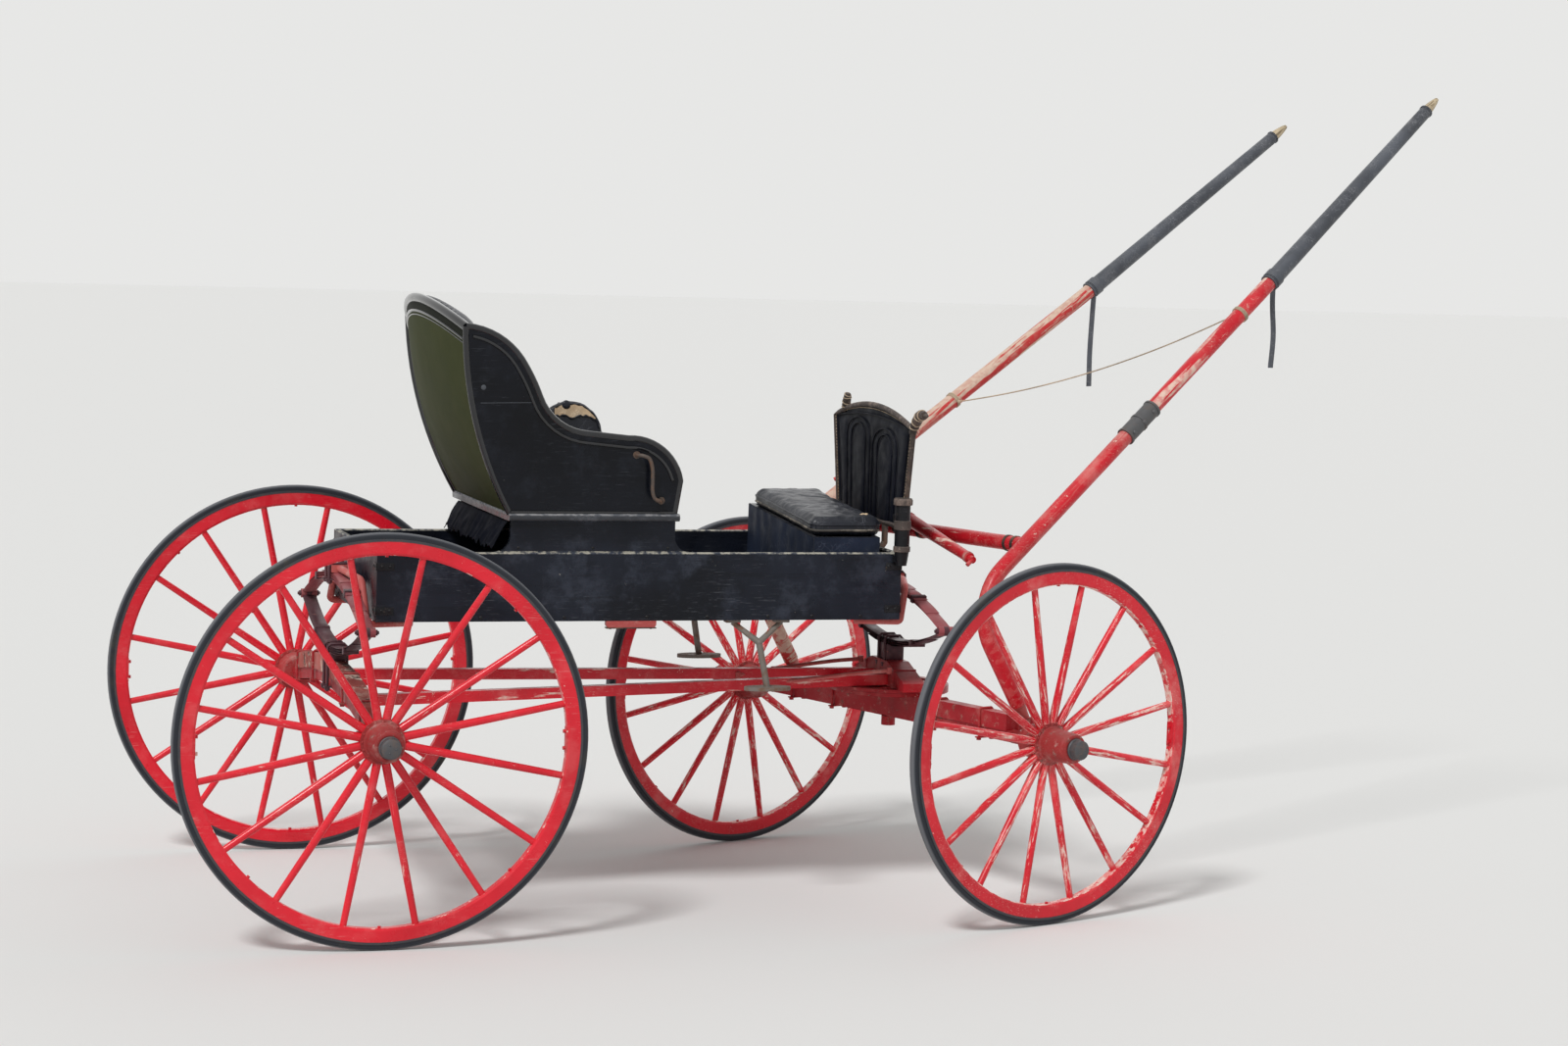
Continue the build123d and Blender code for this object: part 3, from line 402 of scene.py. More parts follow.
@dataclass(frozen=True)
class Hide(Finish):
    """Old black leather: folded, cracked, with brown worn places and grey dust."""

    slot: str = "black_leather"
    worn: Colour = (0.16, 0.12, 0.08)
    wear: float = 0.35
    scale: float = 24.0
    depth: float = 0.0022
    dust: float = 0.0

    def wire(self, w: Wiring, shader: bpy.types.Node) -> None:
        """Wires folds, cracks, wear and dust."""
        hide = w.effect(Effect.HIDE, Scale=self.scale)
        colour = w.blend(w.ramp(w.noise(6.0, 5.0), 0.35, 0.7), self.colour, self.lighter(1.9))
        colour = w.blend(w.math("MULTIPLY", hide["Worn"], self.wear), colour, self.worn)
        colour = w.blend(w.math("MULTIPLY", hide["Cracks"], 0.5), colour, tuple(c * 2.6 + 0.01 for c in self.worn))
        dust = w.effect(Effect.DUST, Amount=self.dust, Scale=12.0)["Mask"]
        w.plug(w.blend(dust, colour, (0.3, 0.29, 0.27)), shader.inputs["Base Color"])
        rough = w.ramp(hide["Height"], 0.2, 0.9, self.rough * 1.35, self.rough * 0.75)
        w.plug(w.math("MAXIMUM", rough, w.math("MULTIPLY", dust, 0.9)), shader.inputs["Roughness"])
        self.relief(w, shader, hide["Height"], 0.7, self.depth)


@dataclass(frozen=True)
class Iron(Finish):
    """Bare iron with rust."""

    slot: str = "black_iron"
    rust: Colour = (0.16, 0.075, 0.035)
    rusting: float = 0.4
    metallic: float = 0.5

    def wire(self, w: Wiring, shader: bpy.types.Node) -> None:
        """Wires metal and rust."""
        cloud = w.noise(26.0, 7.0, 0.65)
        rust = w.math("MULTIPLY", w.ramp(w.noise(34.0, 8.0, 0.7), 0.46, 0.62), self.rusting)
        w.plug(w.blend(rust, w.blend(cloud, self.colour, self.lighter(1.7)), self.rust), shader.inputs["Base Color"])
        w.plug(w.math("SUBTRACT", self.metallic, rust, clamp=True), shader.inputs["Metallic"])
        w.plug(w.ramp(cloud, 0.3, 0.7, self.rough * 0.8, self.rough * 1.3), shader.inputs["Roughness"])
        self.relief(w, shader, cloud, 0.4, 0.0008)


@dataclass(frozen=True)
class Rubber(Finish):
    """Hard grey rubber with a paler worn tread, grass stains and fine cracks."""

    tread: Colour = (0.17, 0.175, 0.19)
    radius: float = 0.5
    centre: Direction = (0.0, 0.0, 0.0)

    def wire(self, w: Wiring, shader: bpy.types.Node) -> None:
        """Wires the tread band, cracks and grass stains."""
        coords = w.coords()
        away = w.vector("LENGTH", w.vector("SUBTRACT", coords, self.centre))
        band = w.ramp(away, self.radius - 0.006, self.radius - 0.001)
        colour = w.blend(w.noise(30.0, 6.0, 0.65), self.colour, self.lighter(1.5))
        colour = w.blend(w.math("MULTIPLY", band, 0.8), colour, self.tread)
        stain = w.ramp(w.noise(5.0, 6.0, 0.7), 0.56, 0.7)
        w.plug(w.blend(w.math("MULTIPLY", stain, 0.35), colour, (0.09, 0.08, 0.05)), shader.inputs["Base Color"])
        self.relief(w, shader, w.ramp(w.cells(150.0, coords), 0.0, 0.08), 0.25, 0.0005)


@dataclass(frozen=True)
class BareWood(Finish):
    """Wood that has lost its paint, grey in the grain."""

    dark: Colour = (0.2, 0.15, 0.09)

    def wire(self, w: Wiring, shader: bpy.types.Node) -> None:
        """Wires grain and weathering."""
        grain = self.drawn(w, 120.0, 0.05)
        w.plug(w.blend(w.ramp(grain, 0.4, 0.65), self.colour, self.dark), shader.inputs["Base Color"])
        self.relief(w, shader, grain, 0.4, 0.0007)


@dataclass(frozen=True)
class Backdrop(Finish):
    """The plain pale floor."""

    def wire(self, w: Wiring, shader: bpy.types.Node) -> None:
        """Sets the floor's plain colour."""
        w.plug((*self.colour, 1.0), shader.inputs["Base Color"])


class Coat:
    """The finishes of this vehicle."""

    # its pale line along the box's top edge is worn paint and also a painted highlight
    black = Paint(
        "black_body_paint", (0.0115, 0.0145, 0.0245), 0.34, gloss=0.2, shade=(0.004, 0.0048, 0.008),
        faded=(0.044, 0.052, 0.074), under=(0.42, 0.40, 0.34), fade=0.6, chips=0.05, scratches=0.42,
        scratch_colour=(0.13, 0.14, 0.16), edge_wear_and_highlight=(0.9845,), grain=1.0)
    # its pale line at the seat's foot is worn paint and also a painted highlight along the board's edge
    seat = Paint(
        "black_seat_paint", (0.0065, 0.0078, 0.0125), 0.22, gloss=0.18, shade=(0.0035, 0.004, 0.006),
        faded=(0.020, 0.024, 0.034), under=(0.20, 0.20, 0.20), fade=0.5, chips=0.04, chip_scale=70.0, scratches=0.28,
        scratch_colour=(0.10, 0.11, 0.13), dust=0.05, edge_wear_and_highlight=(1.0915,), grain=1.0)
    moulding = Paint(
        "black_moulding_paint", (0.005, 0.0055, 0.008), 0.15, gloss=0.5, shade=(0.0025, 0.0025, 0.0035),
        faded=(0.016, 0.019, 0.028), under=(0.12, 0.125, 0.14), fade=0.4, chips=0.03, chip_scale=90.0, scratches=0.2,
        scratch_colour=(0.14, 0.15, 0.17), dust=0.0, coat=0.3)
    olive = Paint(
        "stained_back_paint", (0.048, 0.055, 0.020), 0.62, gloss=0.05, shade=(0.036, 0.043, 0.016),
        faded=(0.066, 0.067, 0.026), under=(0.05, 0.045, 0.02), chips=0.03, chip_scale=40.0, scratches=0.15,
        scratch_colour=(0.15, 0.135, 0.06), dust=0.0, uneven=0.1)
    # a dark strip laid under the back's rolled top edge: painted shade where the roll's shadow falls
    roll_shadow = Paint(
        "painted_roll_shadow", (0.016, 0.018, 0.013), 0.62, gloss=0.05, shade=(0.009, 0.010, 0.008),
        faded=(0.030, 0.032, 0.022), under=(0.05, 0.045, 0.02), fade=0.4, chips=0.03, scratches=0.15,
        scratch_colour=(0.1, 0.1, 0.08), dust=0.0, uneven=0.1)
    # its pale edge line is a painted highlight along the board's front edge, broken like worn paint; the grey under
    # colour is that highlight's colour as well as the chips'
    board = Paint(
        "worn_and_highlit_board_paint", (0.022, 0.025, 0.033), 0.3, gloss=0.5, shade=(0.012, 0.014, 0.018),
        faded=(0.085, 0.092, 0.108), under=(0.24, 0.24, 0.25), fade=0.8, chips=0.06, scratches=0.35,
        scratch_colour=(0.2, 0.21, 0.23), grain=0.4, edge_wear_and_highlight=(1.0915,))
    red = WheelPaint(
        "red_wheel_paint", (0.80, 0.012, 0.030), 0.30, "red_wood", 0.35, shade=(0.62, 0.007, 0.020),
        faded=(0.84, 0.20, 0.20), under=(0.86, 0.62, 0.55), fade=0.22, chips=0.10, chip_scale=64.0, scratches=0.35,
        scratch_colour=(0.85, 0.45, 0.42), dust=0.05, dust_colour=(0.6, 0.4, 0.34), coat=0.15, grain=0.2, wear=0.40)
    worn_red = WheelPaint(
        "red_front_wheel_paint", (0.78, 0.014, 0.032), 0.32, "red_wood", 0.35, shade=(0.60, 0.010, 0.022),
        faded=(0.84, 0.28, 0.26), under=(0.86, 0.66, 0.58), fade=0.35, chips=0.14, chip_scale=48.0, scratches=0.6,
        scratch_colour=(0.85, 0.55, 0.5), dust=0.08, dust_colour=(0.6, 0.4, 0.34), coat=0.1, grain=0.2, wear=1.0,
        rim=0.438, rim_wear=0.75)
    reach = Paint(
        "red_reach_paint", (0.72, 0.014, 0.030), 0.34, "red_wood", 0.32, shade=(0.50, 0.008, 0.018),
        faded=(0.78, 0.26, 0.24), under=(0.80, 0.56, 0.48), chips=0.16, scratch_colour=(0.8, 0.45, 0.4), dust=0.12,
        dust_colour=(0.5, 0.38, 0.3), coat=0.1, grain=0.4, wear=0.45)
    red_gear = Paint(
        "red_gear_paint", (0.40, 0.012, 0.020), 0.42, "red_iron", 0.25, shade=(0.17, 0.008, 0.012),
        faded=(0.50, 0.17, 0.15), under=(0.20, 0.11, 0.085), fade=0.45, chips=0.30, chip_scale=40.0, scratches=0.4,
        scratch_colour=(0.50, 0.25, 0.22), dust=0.15, dust_colour=(0.36, 0.26, 0.21))
    pink_iron = Paint(
        "faded_red_iron", (0.55, 0.13, 0.12), 0.5, "red_iron", 0.25, shade=(0.42, 0.07, 0.065),
        faded=(0.66, 0.38, 0.33), under=(0.20, 0.12, 0.10), fade=0.85, chip_scale=44.0, scratches=0.4,
        scratch_colour=(0.70, 0.48, 0.42), dust_colour=(0.5, 0.4, 0.34))
    # two copies of one red spring paint: a pale one for the upper halves, a painted lit side, and a dark one for the
    # lower halves, painted shade
    spring_lit = Paint(
        "lit_spring_iron", (0.33, 0.085, 0.095), 0.5, "red_iron", 0.25, shade=(0.22, 0.045, 0.055),
        faded=(0.44, 0.20, 0.19), under=(0.12, 0.06, 0.055), fade=0.7, chip_scale=44.0,
        scratch_colour=(0.5, 0.3, 0.27), dust_colour=(0.4, 0.3, 0.26))
    spring_shaded = Paint(
        "shaded_spring_iron", (0.085, 0.032, 0.042), 0.48, "red_iron", 0.3, shade=(0.040, 0.018, 0.024),
        faded=(0.17, 0.08, 0.085), under=(0.30, 0.12, 0.10), fade=0.6, chip_scale=44.0,
        scratch_colour=(0.25, 0.17, 0.15), dust=0.12, dust_colour=(0.28, 0.2, 0.17))
    flap = Hide(
        "black_flap_leather", (0.0030, 0.0036, 0.0065), 0.75, gloss=0.05, worn=(0.012, 0.012, 0.016), wear=0.3,
        scale=20.0, depth=0.0012)
    worn_bed = Paint(
        "worn_axle_bed", (0.45, 0.11, 0.09), 0.55, "red_wood", 0.2, shade=(0.20, 0.04, 0.035),
        faded=(0.62, 0.46, 0.38), under=(0.035, 0.028, 0.026), fade=0.9, chips=0.42, chip_scale=18.0,
        scratch_colour=(0.5, 0.38, 0.32), dust_colour=(0.4, 0.32, 0.27))
    shaft = Paint(
        "red_shaft_paint", (0.66, 0.012, 0.026), 0.34, "red_wood", 0.3, shade=(0.45, 0.010, 0.018),
        faded=(0.74, 0.30, 0.27), under=(0.80, 0.58, 0.48), fade=0.4, chip_scale=56.0, scratches=0.6,
        scratch_colour=(0.8, 0.5, 0.42), dust_colour=(0.5, 0.4, 0.33), coat=0.05, grain=0.6,
        along=(0.7307, 0.3374, 0.5934), wear=0.98, wear_above=1.36)
    cross_shaft = replace(shaft, name="red_crossbar_paint", along=(-0.342, 0.940, 0.0), wear=0.5, wear_above=-1.0)
    bare_shaft = Paint(
        "worn_shaft_paint", (0.62, 0.05, 0.05), 0.5, "red_wood", 0.25, shade=(0.50, 0.03, 0.03),
        faded=(0.64, 0.40, 0.32), under=(0.72, 0.54, 0.43), fade=0.6, chips=0.26, chip_scale=52.0, scratches=0.4,
        scratch_colour=(0.66, 0.48, 0.4), dust_colour=(0.5, 0.42, 0.35), grain=0.7, along=(0.7766, 0.2112, 0.5934),
        wear=1.15)
    leather = Hide(
        "black_cushion_leather", (0.0105, 0.012, 0.0175), 0.38, gloss=0.32, worn=(0.028, 0.030, 0.039), wear=0.5,
        dust=0.05)
    dash_leather = Hide(
        "black_dash_leather", (0.0026, 0.0034, 0.0070), 0.5, gloss=0.07, worn=(0.010, 0.010, 0.014), wear=0.2,
        scale=34.0, depth=0.001, dust=0.02)
    apron = Hide(
        "blue_black_apron", (0.010, 0.0145, 0.028), 0.6, gloss=0.15, worn=(0.03, 0.035, 0.05), wear=0.5, scale=26.0,
        depth=0.001)
    binding = Hide(
        "brown_worn_binding", (0.050, 0.040, 0.036), 0.6, gloss=0.25, worn=(0.20, 0.15, 0.125), wear=0.7, scale=50.0,
        depth=0.0006, dust=0.1)
    torn = Hide(
        "torn_canvas_lining", (0.50, 0.37, 0.24), 0.85, gloss=0.08, worn=(0.62, 0.50, 0.36), wear=0.6, scale=60.0,
        depth=0.0012)
    cover = Hide(
        "grey_shaft_leather", (0.048, 0.053, 0.064), 0.42, gloss=0.45, worn=(0.105, 0.108, 0.118), wear=0.5,
        scale=36.0, depth=0.0005, dust=0.08)
    iron = Iron("weathered_black_iron", (0.045, 0.038, 0.034), 0.55, gloss=0.4, rusting=0.7)
    nut = Iron("grey_axle_nut", (0.07, 0.07, 0.075), 0.5, gloss=0.4, rusting=0.3, metallic=0.45)
    hub = Paint(
        "faded_hub_paint", (0.42, 0.045, 0.045), 0.46, "red_iron", 0.25, shade=(0.25, 0.022, 0.022),
        faded=(0.50, 0.27, 0.24), under=(0.17, 0.11, 0.09), fade=0.7, chips=0.30, scratch_colour=(0.6, 0.4, 0.36),
        dust=0.15, dust_colour=(0.5, 0.4, 0.36))
    step_iron = Iron(
        "worn_step_iron", (0.15, 0.135, 0.12), 0.6, gloss=0.3, rust=(0.17, 0.085, 0.045), rusting=0.8, metallic=0.2)
    bent_iron = Iron("brown_bent_iron", (0.075, 0.06, 0.052), 0.5, gloss=0.35, rusting=0.6, metallic=0.3)
    black_iron_paint = Paint(
        "black_iron_paint", (0.0085, 0.009, 0.0115), 0.34, "black_iron", 0.25, shade=(0.004, 0.004, 0.0055),
        faded=(0.03, 0.032, 0.036), under=(0.10, 0.07, 0.05), fade=0.5, scratches=0.4,
        scratch_colour=(0.10, 0.10, 0.11), dust=0.2, grain=1.0)
    worn_welt = Hide(
        "worn_pale_welt", (0.05, 0.045, 0.04), 0.65, gloss=0.3, worn=(0.27, 0.235, 0.19), wear=0.8, scale=46.0,
        depth=0.0004, dust=0.1)
    worn_seam = Iron("worn_grey_seam", (0.055, 0.06, 0.07), 0.5, "black_wood", 0.3, rusting=0.0, metallic=0.0)
    twine = Hide(
        "pale_twine", (0.33, 0.26, 0.19), 0.85, gloss=0.1, worn=(0.42, 0.33, 0.24), wear=0.6, scale=150.0,
        depth=0.0003)
    tip = BareWood("bare_shaft_tip", (0.60, 0.49, 0.33), 0.6, "red_wood", 0.3, along=(0.75, 0.27, 0.593))
    band = Iron("grey_band_iron", (0.075, 0.075, 0.078), 0.5, gloss=0.4, rust=(0.10, 0.07, 0.055), metallic=0.25)
    channel = Iron("grey_tyre_channel", (0.045, 0.048, 0.055), 0.5, "tyre", 0.4, rusting=0.15, metallic=0.4)


# tools for new pieces
Point = Sequence[float]


def arc_points(first: Point, middle: Point, last: Point, steps: int) -> list[Vector]:
    """Returns points along the circle through three flat points.

    Args:
        first: where the arc starts.
        middle: a point that it passes.
        last: where it ends.
        steps: how many pieces it is cut into.
    """
    a, b, c = (Vector(p) for p in (first, middle, last))
    turn = 2 * (a.x * (b.y - c.y) + b.x * (c.y - a.y) + c.x * (a.y - b.y))
    centre = Vector((
        (a.length_squared * (b.y - c.y) + b.length_squared * (c.y - a.y) + c.length_squared * (a.y - b.y)) / turn,
        (a.length_squared * (c.x - b.x) + b.length_squared * (a.x - c.x) + c.length_squared * (b.x - a.x)) / turn,
    ))
    start, end = a - centre, c - centre
    sweep = math.atan2(start.x * end.y - start.y * end.x, start.dot(end))
    return [centre + Matrix.Rotation(sweep * k / steps, 2) @ start for k in range(steps + 1)]


def offset_line(points: Sequence[Vector], amount: float) -> list[Vector]:
    """Returns a flat line moved sideways, to its left for a positive amount."""
    moved = []
    for index, point in enumerate(points):
        along = points[min(index + 1, len(points) - 1)] - points[max(index - 1, 0)]
        moved.append(point + Vector((-along.y, along.x)).normalized() * amount)
    return moved


def smooth_line(points: Sequence[Point], steps: int) -> list[Vector]:
    """Returns a smooth line through given points, steps to each gap."""
    line = [Vector(p) for p in points]
    ends = [2 * line[0] - line[1], *line, 2 * line[-1] - line[-2]]
    out = []
    for a, b, c, d in zip(ends, ends[1:], ends[2:], ends[3:]):
        for k in range(steps):
            t = k / steps
            out.append(0.5 * (2 * b + (c - a) * t + (2 * a - 5 * b + 4 * c - d) * t ** 2
                              + (3 * b - a - 3 * c + d) * t ** 3))
    out.append(line[-1])
    return out


def rounded_outline(low: Point, high: Point, corner: float, z: float, gap: float) -> list[Vector]:
    """Returns a level rectangle with round corners.

    Args:
        low: its lowest X and Y.
        high: its highest X and Y.
        corner: radius of the corners.
        z: its height.
        gap: about how far apart the points of its straight sides are.
    """
    line = []
    for x, y, start in ((high[0] - corner, high[1] - corner, 0), (low[0] + corner, high[1] - corner, 90),
                        (low[0] + corner, corner + low[1], 180), (high[0] - corner, corner + low[1], 270)):
        for turn in (math.radians(start + angle) for angle in range(0, 91, 15)):
            line.append(Vector((x + corner * math.cos(turn), y + corner * math.sin(turn), z)))
    dense = []
    for a, b in zip(line, line[1:] + line[:1]):
        count = max(1, int((b - a).length / gap))
        dense += [a.lerp(b, k / count) for k in range(count)]
    return dense


def held_in(value: float) -> float:
    """Returns a value held between 0 and 1."""
    return min(1.0, max(0.0, value))


def arch_radius(half: float, rise: float) -> float:
    """Returns the radius of an arch of a given half width and rise."""
    return (half ** 2 + rise ** 2) / (2 * rise)


def arch_fall(half: float, rise: float, away: float) -> float:
    """Returns how far such an arch has fallen at a distance from its middle."""
    r = arch_radius(half, rise)
    return r - math.sqrt(r ** 2 - away ** 2)


class Surface:
    """The outside of CAD nodes or of new pieces, to lay trim on."""

    def __init__(self, *objects: bpy.types.Object) -> None:
        """Reads the objects' meshes into one search tree."""
        points: list[Vector] = []
        faces: list[tuple[int, ...]] = []
        for obj in objects:
            start = len(points)
            points += [vertex.co.copy() for vertex in obj.data.vertices]
            faces += [tuple(start + index for index in face.vertices) for face in obj.data.polygons]
        self.tree = BVHTree.FromPolygons(points, faces)

    def hit(self, start: Vector, direction: Vector) -> Vector | None:
        """Returns where a ray in the part's frame first meets the surface."""
        return self.tree.ray_cast(start, direction)[0]

    def near(self, point: Vector) -> tuple[Vector, Vector]:
        """Returns the nearest point of the surface and its normal."""
        found = self.tree.find_nearest(point)
        return found[0], found[1]


class Work:
    """A piece under way, drawn in millimetres of one of the vehicle's frames."""

    sharp = math.radians(40)

    def __init__(self, name: str, finish: Finish, body: str = "carriage", place: Matrix | None = None) -> None:
        """Starts an empty piece.

        Args:
            name: the finished object's name.
            finish: what it is finished in.
            body: the body that it rides on.
            place: the matrix of the frame that it is drawn in, the vehicle's own where it is left out.
        """
        self.name = name
        self.finish = finish
        self.body = body
        self.place = Place.body() if place is None else place
        self.bm = bmesh.new()

    def bar(self, a: Point, b: Point, r: float, r_end: float | None = None, sides: int = 20) -> list[Any]:
        """Adds a round, tapered or many-sided bar between two points."""
        start, run = Vector(a), Vector(b) - Vector(a)
        turn = Vector((0, 0, 1)).rotation_difference(run).to_matrix().to_4x4()
        matrix = Matrix.Translation(start + run / 2) @ turn
        return bmesh.ops.create_cone(self.bm, cap_ends=True, segments=sides, radius1=r,
                                     radius2=r if r_end is None else r_end, depth=run.length, matrix=matrix)["verts"]

    def block(self, low: Point, high: Point, bevel: float = 0.0, turn: Matrix | None = None) -> None:
        """Adds a box between any two opposite corners, its edges rounded by bevel."""
        low, high = (Vector(choose(pair) for pair in zip(low, high)) for choose in (min, max))
        matrix = (turn or Matrix()) @ Matrix.Translation((low + high) / 2) @ Matrix.Diagonal((*(high - low), 1))
        made = bmesh.ops.create_cube(self.bm, size=1.0, matrix=matrix)["verts"]
        if bevel:
            edges = list({edge for vertex in made for edge in vertex.link_edges})
            bmesh.ops.bevel(self.bm, geom=edges, offset=bevel, offset_type="OFFSET", affect="EDGES", segments=2,
                            profile=0.5, material=-1)

    def dome(self, centre: Point, direction: Point, r: float, rise: float) -> None:
        """Adds a flat round head, such as a bolt's or a rivet's."""
        turn = Vector((0, 0, 1)).rotation_difference(Vector(direction)).to_matrix().to_4x4()
        matrix = Matrix.Translation(centre) @ turn @ Matrix.Diagonal((r, r, rise, 1))
        bmesh.ops.create_uvsphere(self.bm, u_segments=12, v_segments=6, radius=1.0, matrix=matrix)

    def pipe(self, points: Sequence[Point], r: float | Sequence[float], sides: int = 10, closed: bool = False,
             flat: float | Sequence[float] = 1.0, across: Point | None = None) -> None:
        """Adds a bar along points by extruding a ring from one to the next.

        Args:
            points: the middle line.
            r: radius, or one radius for each point.
            sides: how many sides the ring has.
            closed: whether the last ring joins the first.
            flat: thickness over width, for a strap, or one for each point.
            across: the direction of the width of a strap.
        """
        line = [Vector(p) for p in points]
        radii = [r] * len(line) if isinstance(r, (int, float)) else list(r)
        flats = [flat] * len(line) if isinstance(flat, (int, float)) else list(flat)
        count = len(line)
        frames: list[Matrix] = []
        previous: Vector | None = None
        for index, point in enumerate(line):
            ahead = line[(index + 1) % count] if closed else line[min(index + 1, count - 1)]
            behind = line[index - 1] if closed or index else line[0]
            along = (ahead - behind).normalized()
            if across is not None:
                side = Vector(across).normalized()
                side = (side - along * side.dot(along)).normalized()
            elif previous is None:
                side = along.orthogonal().normalized()
            else:
                side = (previous - along * previous.dot(along)).normalized()
            up = along.cross(side)
            turn = Matrix((side * radii[index], up * radii[index] * flats[index], along)).transposed()
            frames.append(Matrix.Translation(point) @ turn.to_4x4())
            previous = side
        made = bmesh.ops.create_circle(self.bm, cap_ends=False, segments=sides, radius=1.0, matrix=frames[0])["verts"]
        first = ring = list({edge for vertex in made for edge in vertex.link_edges})
        for before, after in zip(frames, frames[1:]):
            grown = bmesh.ops.extrude_edge_only(self.bm, edges=ring)["geom"]
            verts = [item for item in grown if isinstance(item, bmesh.types.BMVert)]
            ring = [item for item in grown
                    if isinstance(item, bmesh.types.BMEdge) and all(v in verts for v in item.verts)]
            bmesh.ops.transform(self.bm, matrix=after @ before.inverted(), verts=verts)
        if closed:
            bmesh.ops.bridge_loops(self.bm, edges=first + ring)
        else:
            for end in (first, ring):
                bmesh.ops.contextual_create(self.bm, geom=end)

    def turned(self, outline: Sequence[Point], steps: int = 48) -> None:
        """Adds a solid of revolution about Y from points of radius and Y."""
        verts = [self.bm.verts.new((radius, y, 0)) for radius, y in outline]
        edges = [self.bm.edges.new((a, b)) for a, b in zip(verts, verts[1:] + verts[:1])]
        bmesh.ops.spin(self.bm, geom=verts + edges, cent=(0, 0, 0), axis=(0, 1, 0), angle=2 * math.pi, steps=steps,
                       use_merge=True)

    def done(self, *nodes: str) -> bpy.types.Object:
        """Finishes the piece, which stands for the named CAD nodes, and returns its object."""
        bmesh.ops.transform(self.bm, matrix=self.place, verts=self.bm.verts[:])
        bmesh.ops.recalc_face_normals(self.bm, faces=self.bm.faces[:])
        for face in self.bm.faces:
            face.smooth = True
        for edge in self.bm.edges:
            if len(edge.link_faces) == 2 and edge.calc_face_angle() > self.sharp:
                edge.smooth = False
        mesh = bpy.data.meshes.new(self.name)
        self.bm.to_mesh(mesh)
        self.bm.free()
        return settle(bpy.data.objects.new(self.name, mesh), self.finish, self.body, *nodes)


def settle(obj: bpy.types.Object, finish: Finish, body: str, *nodes: str) -> bpy.types.Object:
    """Links a finished object, dresses it and lets it ride on its body."""
    if obj.name not in bpy.context.scene.collection.objects:
        bpy.context.scene.collection.objects.link(obj)
    obj.data.materials.clear()
    obj.data.materials.append(finish.material())
    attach(obj, body)
    if nodes:
        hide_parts(*nodes)
    return obj


# studio
@dataclass
class Studio:
    """Camera, floor and lights."""

    eye: Direction = (-1677.9, -9474.9, 1931.1)
    yaw: float = 0.302
    pitch: float = 0.09
    roll: float = 0.031
    lens: float = 80.63
    floor_colour: Colour = (0.80, 0.80, 0.79)
    sun: float = 1.9
    sky: float = 0.42
    backdrop: Colour = (0.80, 0.80, 0.79)

    def camera(self) -> None:
        """Sets the camera at the photograph's place and angle."""
        turn, dip = self.yaw, self.pitch
        forward = Vector((math.sin(turn) * math.cos(dip), math.cos(turn) * math.cos(dip), -math.sin(dip)))
        right = Vector((math.cos(turn), -math.sin(turn), 0))
        up = right.cross(forward)
        across = math.cos(self.roll) * right + math.sin(self.roll) * up
        above = -math.sin(self.roll) * right + math.cos(self.roll) * up
        data = bpy.data.cameras.new("photo_camera")
        data.lens = self.lens
        data.sensor_width = 36.0
        data.sensor_fit = "HORIZONTAL"
        data.clip_end = 100.0
        camera = bpy.data.objects.new("photo_camera", data)
        bpy.context.scene.collection.objects.link(camera)
        matrix = Matrix((across, above, -forward)).transposed().to_4x4()
        matrix.translation = Place.body() @ Vector(self.eye)
        camera.matrix_world = matrix
        bpy.context.scene.camera = camera

    def floor(self) -> None:
        """Lays the plain floor."""
        bm = bmesh.new()
        bmesh.ops.create_grid(bm, x_segments=1, y_segments=1, size=60.0)
        mesh = bpy.data.meshes.new("floor")
        bm.to_mesh(mesh)
        bm.free()
        floor = bpy.data.objects.new("floor", mesh)
        bpy.context.scene.collection.objects.link(floor)
        mesh.materials.append(Backdrop("pale_floor", self.floor_colour, 0.9, gloss=0.1).material())

    def lights(self) -> None:
        """Hangs one soft key, one fill and an even sky."""
        for name, energy, size, turn in (
            ("key", self.sun, 0.2, (38, -16, -24)), ("fill", self.sun * 0.22, 1.2, (58, 0, 140)),
        ):
            data = bpy.data.lights.new(name, "SUN")
            data.energy = energy
            data.angle = size
            lamp = bpy.data.objects.new(name, data)
            lamp.rotation_euler = [math.radians(angle) for angle in turn]
            bpy.context.scene.collection.objects.link(lamp)
        world = bpy.data.worlds.new("studio")
        bpy.context.scene.world = world
        world.use_nodes = True
        world.node_tree.nodes.clear()
        w = Wiring(world.node_tree)
        path = w.add("LightPath").outputs
        seen = w.math("MAXIMUM", path["Is Camera Ray"], path["Is Glossy Ray"])
        seen = w.math("MAXIMUM", seen, path["Is Transmission Ray"])
        strength = w.ramp(seen, 0.0, 1.0, self.sky / self.backdrop[0], 1.0)
        back = w.add("Background", Color=(*self.backdrop, 1.0), Strength=strength)
        w.plug(back.outputs[0], w.add("OutputWorld").inputs[0])
        bpy.context.scene.view_settings.view_transform = "Standard"

    def build(self) -> None:
        """Builds the whole studio."""
        self.camera()
        self.floor()
        self.lights()


